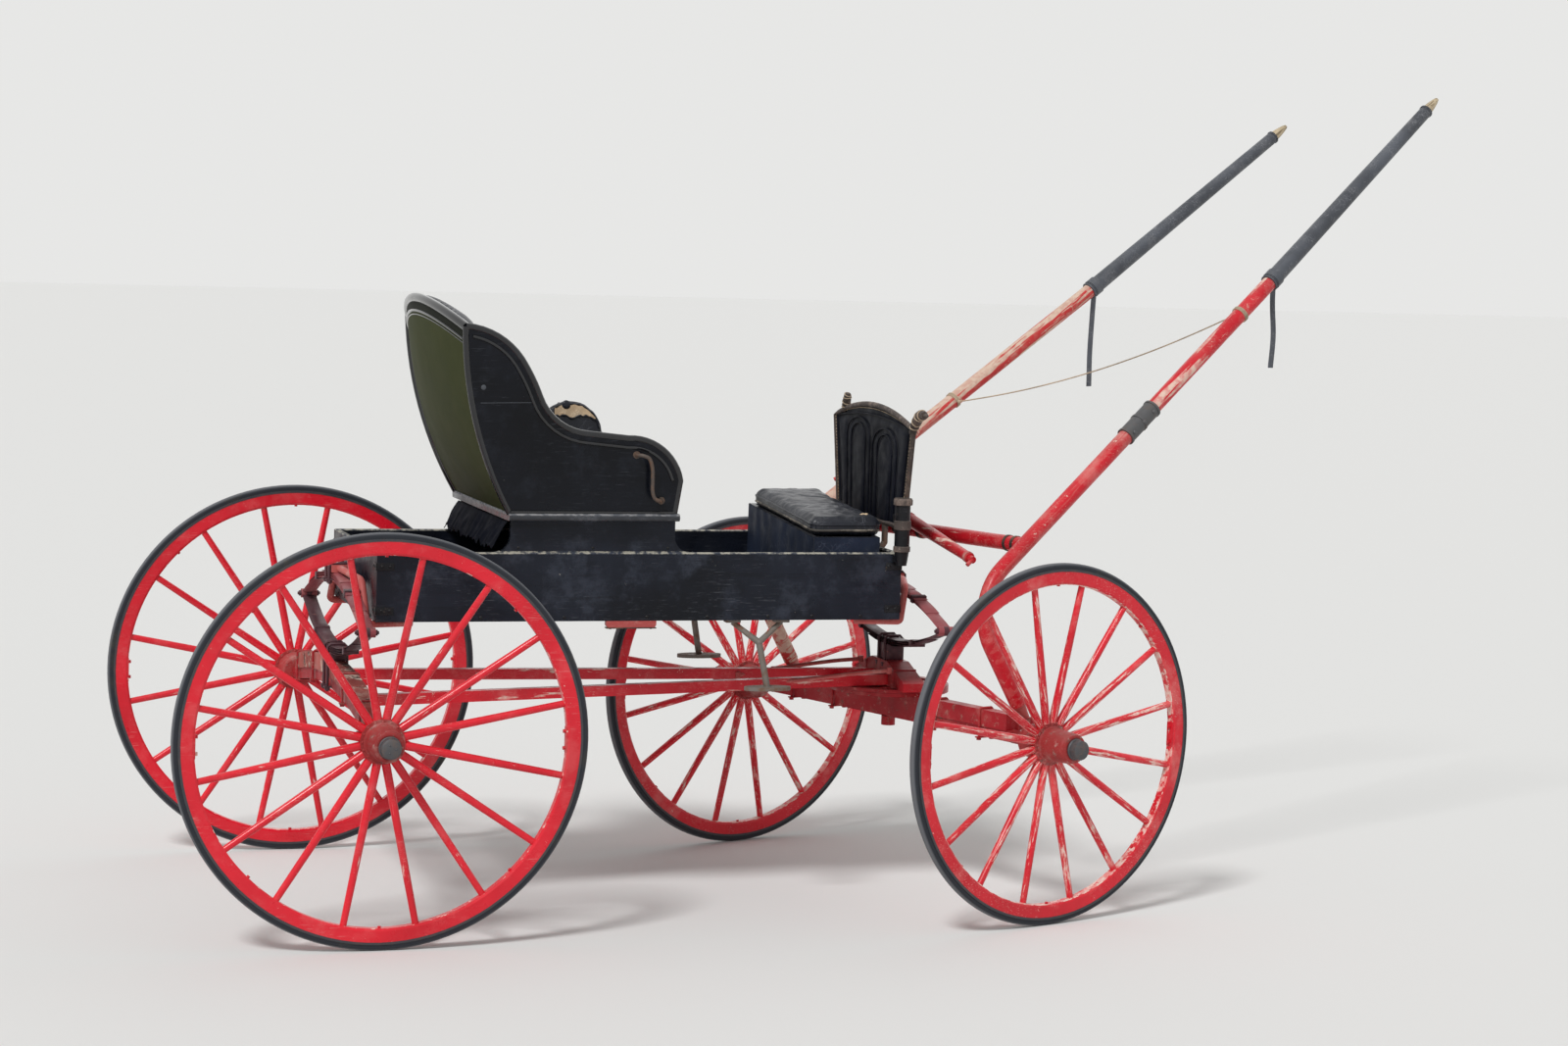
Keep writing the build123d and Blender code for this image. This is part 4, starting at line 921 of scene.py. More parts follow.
# seat
@dataclass
class Seat:
    """Rolled edges, beads and mouldings of the seat's wooden shell."""

    top: float = 1093.0
    inner: float = 344.0
    shell: float = 14.0
    flare: float = math.radians(5)
    bow: float = 55.0
    crown: float = 62.0
    back_line: tuple[Point, ...] = ((397.0, 0.0), (312.0, 190.0), (258.0, 500.0))
    side_arcs: tuple[tuple[Point, Point], ...] = (
        ((346, 474), (412, 415)), ((444, 362), (466, 315)), ((514, 250), (604, 216)))
    arm_rest: Point = (715, 205)
    arm_nose: tuple[Point, Point] = ((822, 166), (864, 92))
    toe: float = 12.0
    handle: tuple[Point, ...] = (
        (738, 2, 160), (741, 15, 160), (752, 24, 159), (768, 26, 150), (777, 26, 124), (779, 26, 95), (780, 26, 66),
        (786, 26, 46), (798, 24, 38), (809, 15, 36.5), (812, 2, 36))
    handle_r: float = 5.2
    roll_r: float = 9.5
    bead_r: float = 4.6
    bead_inset: float = 23.0

    def on_side(self, side: int, point: Point, out: float) -> Vector:
        """Returns a point of a side panel, out from its inner face.

        Args:
            side: -1 for the right panel and 1 for the left one.
            point: X and rise along the panel.
            out: distance outwards from its inner face.

        Returns:
            The point in the vehicle's frame.
        """
        x, rise = point
        lean = Vector((math.sin(self.flare), math.cos(self.flare)))
        return Vector((x, side * (self.inner + rise * lean.x + out * lean.y), self.top + rise * lean.y - out * lean.x))

    def edge(self) -> list[Vector]:
        """Returns the side panels' top edge from the head down to the toe."""
        line: list[Vector] = []
        start = self.back_line[-1]
        for middle, end in self.side_arcs:
            line += arc_points(start, middle, end, 8)[:-1]
            start = end
        line.append(Vector(start))
        line += arc_points(self.arm_rest, *self.arm_nose, 12)
        line.append(Vector((self.arm_nose[1][0] - self.toe, 2)))
        return line

    @property
    def head_half(self) -> float:
        """Half the back's width at its head."""
        return self.inner + self.back_line[-1][1] * math.sin(self.flare)

    def head(self, across: float) -> tuple[float, float]:
        """Returns X and Z of the back's top edge, from the middle at 0 to a corner at 1."""
        x, full = self.back_line[-1]
        drop = self.crown + full * (1 - math.cos(self.flare))
        return x - self.bow * (1 - across ** 2), self.top + full + self.crown - drop * across ** 2

    def crown_line(self, ahead: float, rise: float, steps: int = 24, reach: float = 1.0) -> list[Vector]:
        """Returns the back's top edge from right to left, moved ahead and up."""
        line = []
        for step in range(steps + 1):
            across = reach * (2 * step / steps - 1)
            x, z = self.head(across)
            line.append(Vector((x + ahead, self.head_half * across, z + rise)))
        return line

    def rear_line(self, back: Surface, below: float, reach: float) -> list[Vector]:
        """Returns a line laid on the back's rear face, below its top edge."""
        place = Place.body()
        found = [back.hit(place @ point, Vector((1, 0, 0))) for point in self.crown_line(-140.0, -below, 36, reach)]
        return [place.inverted() @ point for point in found if point is not None]

    def side_rolls(self) -> None:
        """Adds the rolled edge and the bead inside it to both side panels."""
        rolls = Work("seat_side_rolls", Coat.moulding)
        beads = Work("seat_side_beads", Coat.moulding)
        edge = self.edge()
        rear = arc_points(*self.back_line, 14)
        inside = offset_line(edge, -self.bead_inset)
        for side in (-1, 1):
            rolls.pipe([self.on_side(side, p, self.shell / 2) for p in edge], self.roll_r, 12)
            rolls.pipe([self.on_side(side, p, self.shell - 5) for p in rear], self.roll_r - 1, 12)
            rolls.pipe([self.on_side(side, p, self.shell - 20) for p in rear[:-2]], 3.4, 8)
            beads.pipe([self.on_side(side, p, self.shell + 0.5) for p in inside[1:-1]], self.bead_r, 8)
            foot = [self.on_side(side, (x, 4.0), self.shell + 1) for x in (398.0, 850.0)]
            beads.pipe(foot, 5.0, 10)
        rolls.done()
        beads.done()

    def back_rolls(self) -> None:
        """Adds the rolled top edge of the back, the bead across its rear face and, between them, a dark strip that is
        the roll's painted shadow.
        """
        roll = Work("seat_back_roll", Coat.moulding)
        roll.pipe(self.crown_line(self.shell / 2 - 3, -4), self.roll_r + 3, 14)
        roll.done()
        back = Surface(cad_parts["seat_back"])
        beads = Work("seat_back_beads", Coat.moulding)
        for below, r in ((39.0, 4.4), (50.0, 1.8)):
            beads.pipe(self.rear_line(back, below, 0.965), r, 8)
        beads.done()
        # the dark strip under the roll is painted shade where the roll's shadow falls
        band = Work("seat_back_roll_shadow", Coat.roll_shadow)
        band.pipe(self.rear_line(back, 20.0, 0.985), 19.0, 8, flat=0.07, across=(0, 0, 1))
        band.done()

    def handles(self) -> None:
        """Adds the S-bent iron handles with their feet, which stand for the CAD ones."""
        work = Work("seat_grab_irons", Coat.bent_iron)
        line = smooth_line(self.handle, 5)
        size = [self.handle_r * (1 + 0.35 * max(0.0, 1 - min(k, len(line) - 1 - k) / 5)) for k in range(len(line))]
        face = self.inner + self.shell
        for side in (-1, 1):
            work.pipe([(p.x, side * (face + p.y + p.z * math.tan(self.flare)), self.top + p.z) for p in line], size, 14)
            for foot in (self.handle[0], self.handle[-1]):
                away = face + foot[1] - 2 + foot[2] * math.tan(self.flare)
                spot = Vector((foot[0], side * away, self.top + foot[2]))
                work.bar(spot, spot + Vector((0, side * 3.5, 0)), 10.5, 9.5, sides=24)
                work.dome(spot + Vector((0, side * 3.5, 0)), (0, side, 0), 5.0, 2.0)
        work.done("grab_handles")

    def side_marks(self) -> None:
        """Adds the joint that has opened between a side's boards, and the plugged screw above it."""
        work = Work("seat_side_marks", Coat.worn_seam)
        for side in (-1, 1):
            seam = [self.on_side(side, (x, 297 + 0.02 * (x - 300)), self.shell) for x in range(305, 446, 10)]
            work.pipe(seam, 0.9, 6)
            out = self.on_side(side, (0, 0), 1) - self.on_side(side, (0, 0), 0)
            work.dome(self.on_side(side, (311, 339), self.shell), out, 7.0, 1.4)
        work.done()

    def build(self) -> None:
        """Builds all the seat's trim."""
        self.handles()
        self.side_marks()
        self.side_rolls()
        self.back_rolls()


# body
@dataclass
class Body:
    """Corner irons, bolt heads and rub plates of the box."""

    back: float = 47.0
    front: float = 1515.0
    half: float = 330.0
    bottom: float = 799.0
    top: float = 985.0
    plate: float = 2.0
    strap: float = 20.0
    strap_length: float = 46.0
    strap_bolts: tuple[float, ...] = (14.0, 36.0)
    side_bolts: tuple[float, ...] = (150.0, 330.0, 560.0, 790.0, 960.0, 1133.0, 1260.0, 1400.0)
    seat_bolts: tuple[float, ...] = (430.0, 635.0, 845.0)
    end_bolts: tuple[float, ...] = (-250.0, -90.0, 90.0, 250.0)
    rub: tuple[float, float] = (677.0, 817.0)

    def corner_irons(self) -> None:
        """Adds two bent straps to each corner of the box."""
        work = Work("body_corner_irons", Coat.black_iron_paint)
        for x, inward in ((self.back, 1), (self.front, -1)):
            for side in (-1, 1):
                for z in (self.bottom + 30, self.top - 38):
                    y = side * self.half
                    end, face = x - inward * self.plate, y + side * self.plate
                    low, high = z - self.strap / 2, z + self.strap / 2
                    work.block((end, y, low), (x + inward * self.strap_length, face, high), 0.6)
                    work.block((end, face, low), (x, y - side * self.strap_length, high), 0.6)
                    for along in self.strap_bolts:
                        work.dome((x + inward * along, face, z), (0, side, 0), 4.2, 2.0)
                        work.dome((end, y - side * along, z), (-inward, 0, 0), 4.2, 2.0)
        work.done()

    def bolts(self) -> None:
        """Adds the heads of the carriage bolts that hold floor, loops and steps."""
        work = Work("body_bolt_heads", Coat.black_iron_paint)
        for side in (-1, 1):
            for x in self.side_bolts:
                work.dome((x, side * self.half, self.bottom + 10), (0, side, 0), 5.0, 2.2)
            for x in self.seat_bolts:
                work.dome((x, side * (self.half - 5), self.top + 12), (0, side, 0), 4.0, 1.8)
        for y in self.end_bolts:
            work.dome((self.back, y, self.bottom + 10), (-1, 0, 0), 5.0, 2.2)
            work.dome((self.front, y, self.bottom + 10), (1, 0, 0), 5.0, 2.2)
        work.done()

    def rub_plates(self) -> None:
        """Adds worn wear plates under the body where a turned wheel rubs."""
        work = Work("rub_plates", Coat.iron)
        for side in (-1, 1):
            outer, inner = side * (self.half + 3), side * (self.half - 20)
            work.block((self.rub[0], outer, self.bottom - 21), (self.rub[1], inner, self.bottom - 18), 1.0)
            for x in (self.rub[0] + 13, self.rub[1] - 13):
                work.dome((x, side * (self.half - 9), self.bottom - 21), (0, 0, -1), 5.0, 2.5)
        work.done()

    def build(self) -> None:
        """Builds all the box's ironwork."""
        self.corner_irons()
        self.bolts()
        self.rub_plates()


# dash
@dataclass
class Dash:
    """Quilted leather, its welts and the worn binding on the iron hoop."""

    middle: float = 1532.0
    bottom: float = 1045.0
    side: float = 280.0
    arch: float = 55.0
    low: float = 297.0
    high: float = 352.0
    bar: float = 10.0
    puff: float = 4.5
    border: float = 33.0
    arches: tuple[tuple[int, float, float], ...] = ((1, 121.0, 1333.0), (-1, 114.0, 1314.0))
    nested: tuple[tuple[float, float, float], ...] = ((106.0, 0.0, 66.0), (64.0, 17.0, 50.0))
    ear_routes: tuple[tuple[Sequence[Point], Sequence[float]], ...] = (
        (((-338, 1316), (-360, 1344), (-398, 1369), (-430, 1372)), (10, 13, 15, 11)),
        (((264, 1340), (254, 1362), (244, 1384), (240, 1394)), (9, 12, 11, 6)))

    def half(self, z: float) -> float:
        """Returns the hoop's half width at a height."""
        return self.low + (self.high - self.low) * (z - self.bottom) / self.side

    def top(self, y: float) -> float:
        """Returns the height of the hoop's arch at a distance from the middle."""
        radius = arch_radius(self.high, self.arch)
        return self.bottom + self.side + self.arch - radius + math.sqrt(radius ** 2 - min(abs(y), self.high) ** 2)

    def outline(self, inset: float) -> list[Vector]:
        """Returns the closed outline of Y and Z, inset from the hoop's outside."""
        low, high = self.low - inset, self.high - inset
        foot, shoulder = self.bottom + inset, self.bottom + self.side
        line = [Vector((-low, foot)), Vector((-high, shoulder))]
        line += arc_points((-high, shoulder), (0, shoulder + self.arch - inset), (high, shoulder), 20)[1:]
        line.append(Vector((low, foot)))
        return line

    def welts(self) -> list[list[Vector]]:
        """Returns the sewn lines that fan up the leather and end in lobes, as Y and Z."""
        lines = []
        foot = self.bottom + 14
        for sign, middle, crown in self.arches:
            for half, below, rise in self.nested:
                spring = crown - below - rise
                arch = [(middle - half * math.cos(t), spring + rise * math.sin(t) ** 0.8)
                        for t in (math.pi * k / 18 for k in range(19))]
                line = [(0.93 * middle - 0.90 * half, foot), *arch, (0.93 * middle + 0.90 * half, foot)]
                lines.append([Vector((sign * y, z)) for y, z in line])
        return [*lines, self.outline(self.border)]

    @staticmethod
    def away(point: Vector, a: Vector, b: Vector) -> float:
        """Returns how far a flat point is from the stretch between a and b."""
        run = b - a
        t = held_in((point - a).dot(run) / run.length_squared)
        return (point - a - run * t).length

    def leather(self) -> None:
        """Adds the quilted panel that stands for the flat CAD one."""
        work = Work("dash_quilted_leather", Coat.dash_leather)
        bmesh.ops.create_grid(work.bm, x_segments=84, y_segments=64, size=1.0)
        segments = [(a, b) for line in self.welts() for a, b in zip(line, line[1:])]
        inset = self.bar / 2
        for vertex in work.bm.verts:
            u, v = vertex.co.x, (vertex.co.y + 1) / 2
            y = u * (self.low + (self.high - self.low) * v - inset)
            z = self.bottom + inset + v * (self.top(y) - self.bottom - 2 * inset)
            y = u * (self.half(z) - inset) if z < self.bottom + self.side else y
            vertex.co = (self.middle, y, z)
        bmesh.ops.solidify(work.bm, geom=work.bm.faces[:], thickness=5.0)
        middle = sum(vertex.co.x for vertex in work.bm.verts) / len(work.bm.verts)
        found: dict[tuple[int, int], float] = {}
        for vertex in work.bm.verts:
            place = Vector((vertex.co.y, vertex.co.z))
            key = (round(place.x * 2), round(place.y * 2))
            if key not in found:
                found[key] = min(self.away(place, a, b) for a, b in segments)
            away = found[key]
            rim = min(self.half(vertex.co.z) - abs(vertex.co.y), self.top(vertex.co.y) - vertex.co.z)
            swell = self.puff * (1 - math.exp(-(away / 15) ** 2)) * (1 - math.exp(-(max(rim - 5, 0) / 16) ** 2))
            crease = 1.3 * noise.noise(vertex.co * 0.022)
            vertex.co.x += (swell + crease) * (1 if vertex.co.x > middle else -1)
        work.done("dash_leather")

    def seams(self) -> None:
        """Adds the welts along the sewn lines, on both faces."""
        work = Work("dash_welts", Coat.dash_leather)
        for line in self.welts():
            for x in (self.middle - 3.6, self.middle + 3.6):
                work.pipe([(x, p.x, p.y) for p in line], 2.1, 8)
        work.done()

    def binding(self) -> None:
        """Adds the leather rolled round the iron hoop, worn brown."""
        work = Work("dash_binding", Coat.binding)
        line = [(self.middle, p.x, p.y) for p in self.outline(self.bar / 2)]
        work.pipe(line, 7.5, 12, closed=True)
        work.done()
        stitches = Work("dash_binding_stitches", Coat.torn)
        path = self.outline(self.bar + 6)
        for a, b in zip(path, path[1:]):
            count = max(1, int((b - a).length / 9))
            for step in range(count):
                p, q = a.lerp(b, (step + 0.2) / count), a.lerp(b, (step + 0.75) / count)
                for x in (self.middle - 3.8, self.middle + 3.8):
                    stitches.bar((x, p.x, p.y), (x, q.x, q.y), 0.55, sides=4)
        stitches.done()

    def ears(self) -> None:
        """Adds the leather and twine wound round the hoop's two ears."""
        wraps = Work("dash_ear_wraps", Coat.binding)
        turns = Work("dash_ear_twine", Coat.twine)
        for route, radii in self.ear_routes:
            line = smooth_line([(self.middle, y, z) for y, z in route], 5)
            size = [radii[min(3, k // 5)] + (radii[min(3, k // 5 + 1)] - radii[min(3, k // 5)]) * (k % 5) / 5
                    + 1.2 * math.sin(k * 1.9) for k in range(len(line))]
            wraps.pipe(line, size, 14)
            for k in range(3, len(line) - 2, 3):
                along = (line[k + 1] - line[k - 1]).normalized()
                turn = Vector((0, 0, 1)).rotation_difference(along)
                r = size[k] + 1.2
                ring = [line[k] + turn @ Vector((r * math.cos(t), r * math.sin(t), 2.5 * math.sin(t + k)))
                        for t in (2 * math.pi * n / 20 for n in range(20))]
                turns.pipe(ring, 1.7, 6, closed=True)
        wraps.done()
        turns.done()

    def build(self) -> None:
        """Builds the whole dash."""
        self.leather()
        self.seams()
        self.binding()
        self.ears()


@dataclass
class WhipSocket:
    """Leather bands and rim of the whip socket."""

    x: float = 1506.0
    y: float = -354.0
    r: float = 21.0
    rim: float = 1135.0
    bands: tuple[tuple[float, float], ...] = ((998.0, 16.0), (1064.0, 26.0))
    lip: tuple[Point, ...] = ((-5, -3), (-3, 3), (3, 3.5), (6, -2), (5.5, -15), (1, -16))

    def build(self) -> None:
        """Builds the bands and the rolled rim."""
        place = Place.body() @ Matrix.Translation((self.x, self.y, 0)) @ Matrix.Rotation(math.pi / 2, 4, "X")
        work = Work("whip_socket_bands", Coat.binding, place=place)
        for z, wide in self.bands:
            low, high, r = z - wide / 2, z + wide / 2, self.r
            work.turned([(r, low), (r + 2.6, low + 1.5), (r + 2.6, high - 1.5), (r, high)], 32)
        work.turned([(self.r + out, self.rim + up) for out, up in self.lip], 32)
        work.done()


# wheels
@dataclass
class Wheel:
    """Trim of one wheel: hub bands, rivets, tyre channel, felloe plates and axle nut."""

    label: str
    body: str
    carrier: str
    radius: float
    place: Matrix
    flange_r: float = 58.0
    flange_out: float = -3.0
    flange_in: float = -31.0
    hub_out: float = 92.0
    hub_in: float = -95.0
    spokes: int = 16
    rivets: int = 16
    tyre_depth: float = 20.0
    felloe_depth: float = 38.0
    half: float = 14.0

    def hub_rivets(self) -> None:
        """Adds the flange's rivets on both faces, two to a spoke gap."""
        work = Work(f"{self.label}_rivets", Coat.hub, self.body, self.place)
        for k in range(self.rivets):
            turn = Matrix.Rotation(2 * math.pi * k / self.rivets, 4, "Y")
            for y, out in ((self.flange_out, 1), (self.flange_in, -1)):
                work.dome(turn @ Vector((self.flange_r - 6, y, 0)), (0, out, 0), 3.8, 2.6)
        work.done()

    def hub_bands(self) -> None:
        """Adds the iron bands at both ends of the hub and a bead against the flange."""
        work = Work(f"{self.label}_hub_bands", Coat.hub, self.body, self.place)
        out, back = self.hub_out, self.hub_in
        work.turned([(36, out - 17), (39.5, out - 15), (39, out - 1), (36, out + 1), (31, out + 1), (31, out - 17)], 40)
        work.turned([(40, back + 1), (44.5, back + 3), (47.5, back + 14), (40, back + 16)], 40)
        face = self.flange_out
        work.turned([(44, face - 1), (51, face + 1), (47, face + 6), (44, face + 7)], 40)
        work.done()

    def tyre_channel(self) -> None:
        """Adds the steel channel that holds the rubber, seen as a thin line on each side."""
        work = Work(f"{self.label}_channel", Coat.channel, self.body, self.place)
        r = self.radius - self.tyre_depth
        for side in (-1, 1):
            y = side * self.half
            work.turned([(r - 2.2, y - 0.8), (r - 2.2, y + 0.8), (r + 4.2, y + 0.8), (r + 4.2, y - 0.8)], 96)
        work.done()

    def felloe_plates(self) -> None:
        """Adds the bolts through felloe and tyre, and the plates at its two joints."""
        work = Work(f"{self.label}_felloe_irons", Coat.reach, self.body, self.place)
        inner = self.radius - self.tyre_depth - self.felloe_depth
        for k in range(self.spokes):
            turn = Matrix.Rotation(2 * math.pi * k / self.spokes, 4, "Y")
            if k % (self.spokes // 2) == 0:
                work.block((inner - 2.5, -12, -34), (inner + 3, 12, 34), 1.2, turn)
                for z in (-22.0, 22.0):
                    work.bar(turn @ Vector((inner - 9, 0, z)), turn @ Vector((inner + 2, 0, z)), 5.2, sides=6)
            elif k % 2 == 0:
                work.bar(turn @ Vector((inner - 5, 0, 0)), turn @ Vector((inner + 2, 0, 0)), 4.6, sides=6)
        work.done()

    def axle_nut(self) -> None:
        """Adds the grey axle nut with its flange and rounded cap."""
        work = Work(f"{self.label}_axle_nut", Coat.nut, self.carrier, self.place)
        start = self.hub_out + 1.5
        flange = ((0.5, 0), (29, 0), (29.5, 3), (27, 6), (0.5, 6))
        cap = ((0.5, 20), (26, 20), (25.8, 26), (21, 29), (0.5, 29.5))
        work.turned([(r, start + y) for r, y in flange], 40)
        work.bar((0, start + 5, 0), (0, start + 25, 0), 27.5, 27.0, sides=8)
        work.turned([(r, start + y) for r, y in cap], 40)
        for angle in (2 * math.pi * k / 3 for k in range(3)):
            work.dome((11 * math.cos(angle), start + 29, 11 * math.sin(angle)), (0, 1, 0), 2.8, 1.8)
        work.done()

    def build(self) -> None:
        """Builds all the wheel's trim."""
        self.hub_rivets()
        self.hub_bands()
        self.tyre_channel()
        self.felloe_plates()
        self.axle_nut()


@dataclass
class Wheels:
    """The four wheels."""

    rear_r: float = 538.0
    front_r: float = 496.0

    def build(self) -> None:
        """Builds each wheel in its place."""
        for end, radius, frame_here, carrier in (
            ("rear", self.rear_r, Place.body(), "carriage"),
            ("front", self.front_r, Place.front(), "front_axle"),
        ):
            for side, sign in (("right", -1), ("left", 1)):
                place = frame_here @ Matrix.Diagonal((1, sign, 1, 1)) @ Matrix.Translation((0, Place.track / 2, radius))
                Wheel(f"{end}_{side}", f"{end}_{side}_wheel", carrier, radius, place).build()


# springs and axles
@dataclass
class Spring:
    """Tapered leaves, saddle, clips, U-bolts and eyes of one elliptic spring."""

    label: str
    x: float
    bottom: float
    top: float
    under: float
    finish: Finish
    seat: float
    half: float = 457.0
    leaf: float = 6.0
    halves: tuple[float, ...] = (457.0, 350.0, 250.0, 150.0)
    clip_y: float = 225.0
    bolt_y: float = 27.0
    clipped: int = 3
    wide: float = 19.0
    loop: float = 20.0
    taper: float = 70.0
    eye_r: float = 13.0

    @property
    def stacked(self) -> float:
        """The thickness of one half's leaves at their middle."""
        return self.leaf * len(self.halves)

    @property
    def middle(self) -> float:
        """The height of the eyes."""
        return (self.bottom + self.top) / 2

    @property
    def sag(self) -> float:
        """How far a main leaf's middle is from the eyes."""
        return (self.top - self.bottom) / 2 - self.stacked

    def stack(self) -> None:
        """Adds both halves' leaves with thinned ends, the eyes and the saddle, which stand for the CAD spring."""
        r = arch_radius(self.half, self.sag)
        middle = self.middle
        # the upper half takes the pale copy of the paint, a painted lit side, and the lower half the dark copy, painted
        # shade
        for label, up, finish in (("upper", 1, Coat.spring_lit), ("lower", -1, Coat.spring_shaded)):
            work = Work(f"{self.label}_spring_{label}", finish)
            centre = middle + up * self.sag - up * r
            for order, half in enumerate(self.halves):
                points, thick = [], []
                for step in range(37):
                    share = 2 * step / 36 - 1
                    angle = half / r * share
                    left = (1 - abs(share)) * half
                    depth = self.leaf if not order else 1.6 + (self.leaf - 1.6) * min(1.0, left / self.taper)
                    away = r + order * self.leaf + depth / 2 - 0.05
                    points.append((self.x, away * math.sin(angle), centre + up * away * math.cos(angle)))
                    thick.append(depth / 2 / self.wide * 1.08)
                work.pipe(points, self.wide * 1.05, 8, flat=thick, across=(1, 0, 0))
            if up < 0:
                wide = self.wide + 5
                reach = self.bolt_y + 10
                work.block((self.x - wide, -reach, self.seat), (self.x + wide, reach, self.bottom + self.leaf), 2.0)
            for y in (-self.half, self.half):
                reach = self.wide + 3
                ends = (-reach, -reach / 3, reach / 3, reach) if up > 0 else (-reach / 3, reach / 3)
                for x0, x1 in zip(ends[::2], ends[1::2]):
                    work.bar((self.x + x0, y, middle), (self.x + x1, y, middle), self.eye_r, sides=28)
            work.done(f"{self.label}_spring")

    def clips(self) -> None:
        """Adds the bands that keep the leaves in line."""
        work = Work(f"{self.label}_spring_clips", self.finish)
        r = arch_radius(self.half, self.sag)
        wide, thick = self.wide + 2.5, self.leaf * self.clipped
        for y in (self.clip_y, -self.clip_y):
            drop = arch_fall(self.half, self.sag, y)
            low, high = self.bottom + self.stacked + drop, self.top - self.stacked - drop
            for z in (low - thick / 2, high + thick / 2):
                spot = Vector((self.x, y, z))
                lean = -math.asin(y / r) * (1 if z > self.middle else -1)
                turn = Matrix.Translation(spot) @ Matrix.Rotation(lean, 4, "X") @ Matrix.Translation(-spot)
                reach = Vector((wide, 9, thick / 2 + 1.5))
                work.block(spot - reach, spot + reach, 1.0, turn)
        for y in (-self.half, self.half):
            work.bar((self.x - 28, y, self.middle), (self.x + 28, y, self.middle), 8.5, sides=6)
            work.bar((self.x - 32, y, self.middle), (self.x + 32, y, self.middle), 4.5, sides=10)
        work.done()

    def u_bolts(self) -> None:
        """Adds the U-bolts round the middle of both halves, with their nuts."""
        work = Work(f"{self.label}_u_bolts", self.finish)
        wide = self.wide + 7.5
        left, right, corner = self.x - wide, self.x + wide, 8.0
        over = self.bottom + self.stacked + 4
        for y in (-self.bolt_y, self.bolt_y):
            for low, high in ((self.under, over), (self.top - self.stacked - 8, self.top + self.loop + 4)):
                line = [(left, y, low), (left, y, high - corner), (left + corner, y, high),
                        (right - corner, y, high), (right, y, high - corner), (right, y, low)]
                work.pipe(line, 4.2, 10)
                for x in (left, right):
                    work.bar((x, y, low + 3), (x, y, low + 10), 8.2, sides=6)
                work.block((left - 9, y - 8, low + 10), (right + 9, y + 8, low + 14), 0.8)
        work.done()

    def build(self) -> None:
        """Builds the spring."""
        self.stack()
        self.clips()
        self.u_bolts()


@dataclass
class RearAxle:
    """Axle clips of the arched rear axle."""

    bed_top: float = 657.0
    bar_bottom: float = 581.0
    wide: float = 22.0
    half: float = 560.0
    arch: float = 58.0
    places: tuple[float, ...] = (235.0, 500.0)

    def build(self) -> None:
        """Builds the clips and their nuts."""
        work = Work("rear_axle_clips", Coat.red_gear)
        for y in (*self.places, *(-place for place in self.places)):
            drop = arch_fall(self.half, self.arch, y)
            axle_clip(work, y, self.bed_top - drop, self.bar_bottom - drop, self.wide)
        work.done()


def axle_clip(work: Work, y: float, top: float, bottom: float, wide: float) -> None:
    """Adds one clip round an axle and its bed, with nuts under a small plate."""
    line = [(-wide, y, bottom - 8), (-wide, y, top), (-wide + 4, y, top + 3), (wide - 4, y, top + 3), (wide, y, top),
            (wide, y, bottom - 8)]
    work.pipe(line, 3.6, 8)
    work.block((-wide - 8, y - 8, bottom - 4), (wide + 8, y + 8, bottom - 0.5), 0.8)
    for x in (-wide, wide):
        work.bar((x, y, bottom - 10), (x, y, bottom - 4), 6.6, sides=6)


@dataclass
class FrontGear:
    """Clips, braces and the king bolt's plate of the front axle and fifth wheel."""

    bed_top: float = 557.0
    bar_bottom: float = 481.0
    ring_r: float = 170.0
    head_bottom: float = 577.5
    wide: float = 23.0
    places: tuple[float, ...] = (235.0, 430.0)
    stay: tuple[Point, ...] = ((1180, 98, 588), (1330, 120, 606), (1470, 128, 622), (1560, 128, 628))

    def clips(self) -> None:
        """Adds the clips of axle and bed."""
        work = Work("front_axle_clips", Coat.red_gear, "front_axle", Place.front())
        for y in (*self.places, *(-place for place in self.places)):
            axle_clip(work, y, self.bed_top, self.bar_bottom, self.wide)
        for side in (-1, 1):
            for y, z in ((500, 500), (500, 545), (540, 500), (540, 545)):
                work.bar((28, side * y, z), (34, side * y, z), 6.5, sides=6)
        work.done()

    def ring_bolts(self) -> None:
        """Adds bolt heads round the fifth wheel and straps over the head block."""
        place = Place.body() @ Matrix.Translation((Place.wheelbase, 0, 0))
        work = Work("fifth_wheel_bolts", Coat.red_gear, place=place)
        for angle in range(0, 360, 45):
            turn = Matrix.Rotation(math.radians(angle + 22.5), 4, "Z")
            point = turn @ Vector((self.ring_r - 13, 0, self.head_bottom))
            work.bar(point, point + Vector((0, 0, 6)), 6.5, sides=6)
        for y in (-120.0, 120.0):
            work.block((-34.5, y - 11, self.head_bottom), (34.5, y + 11, self.head_bottom + 53), 1.0)
            for x in (-34.5, 34.5):
                work.dome((x, y, self.head_bottom + 14), (x, 0, 0), 5.5, 3.0)
        work.done()

    def stays(self) -> None:
        """Adds the bent stay irons from the reaches' front ends to the head block."""
        work = Work("reach_stays", Coat.pink_iron)
        for side in (-1, 1):
            line = [(x, side * y, z) for x, y, z in self.stay]
            work.pipe(smooth_line(line, 6), 6.0, 10)
            for x, y, z in (line[0], line[-1]):
                work.bar((x, y, z - 9), (x, y, z + 9), 8.0, sides=6)
        work.done()

    def build(self) -> None:
        """Builds the front gear's ironwork."""
        self.clips()
        self.ring_bolts()
        self.stays()


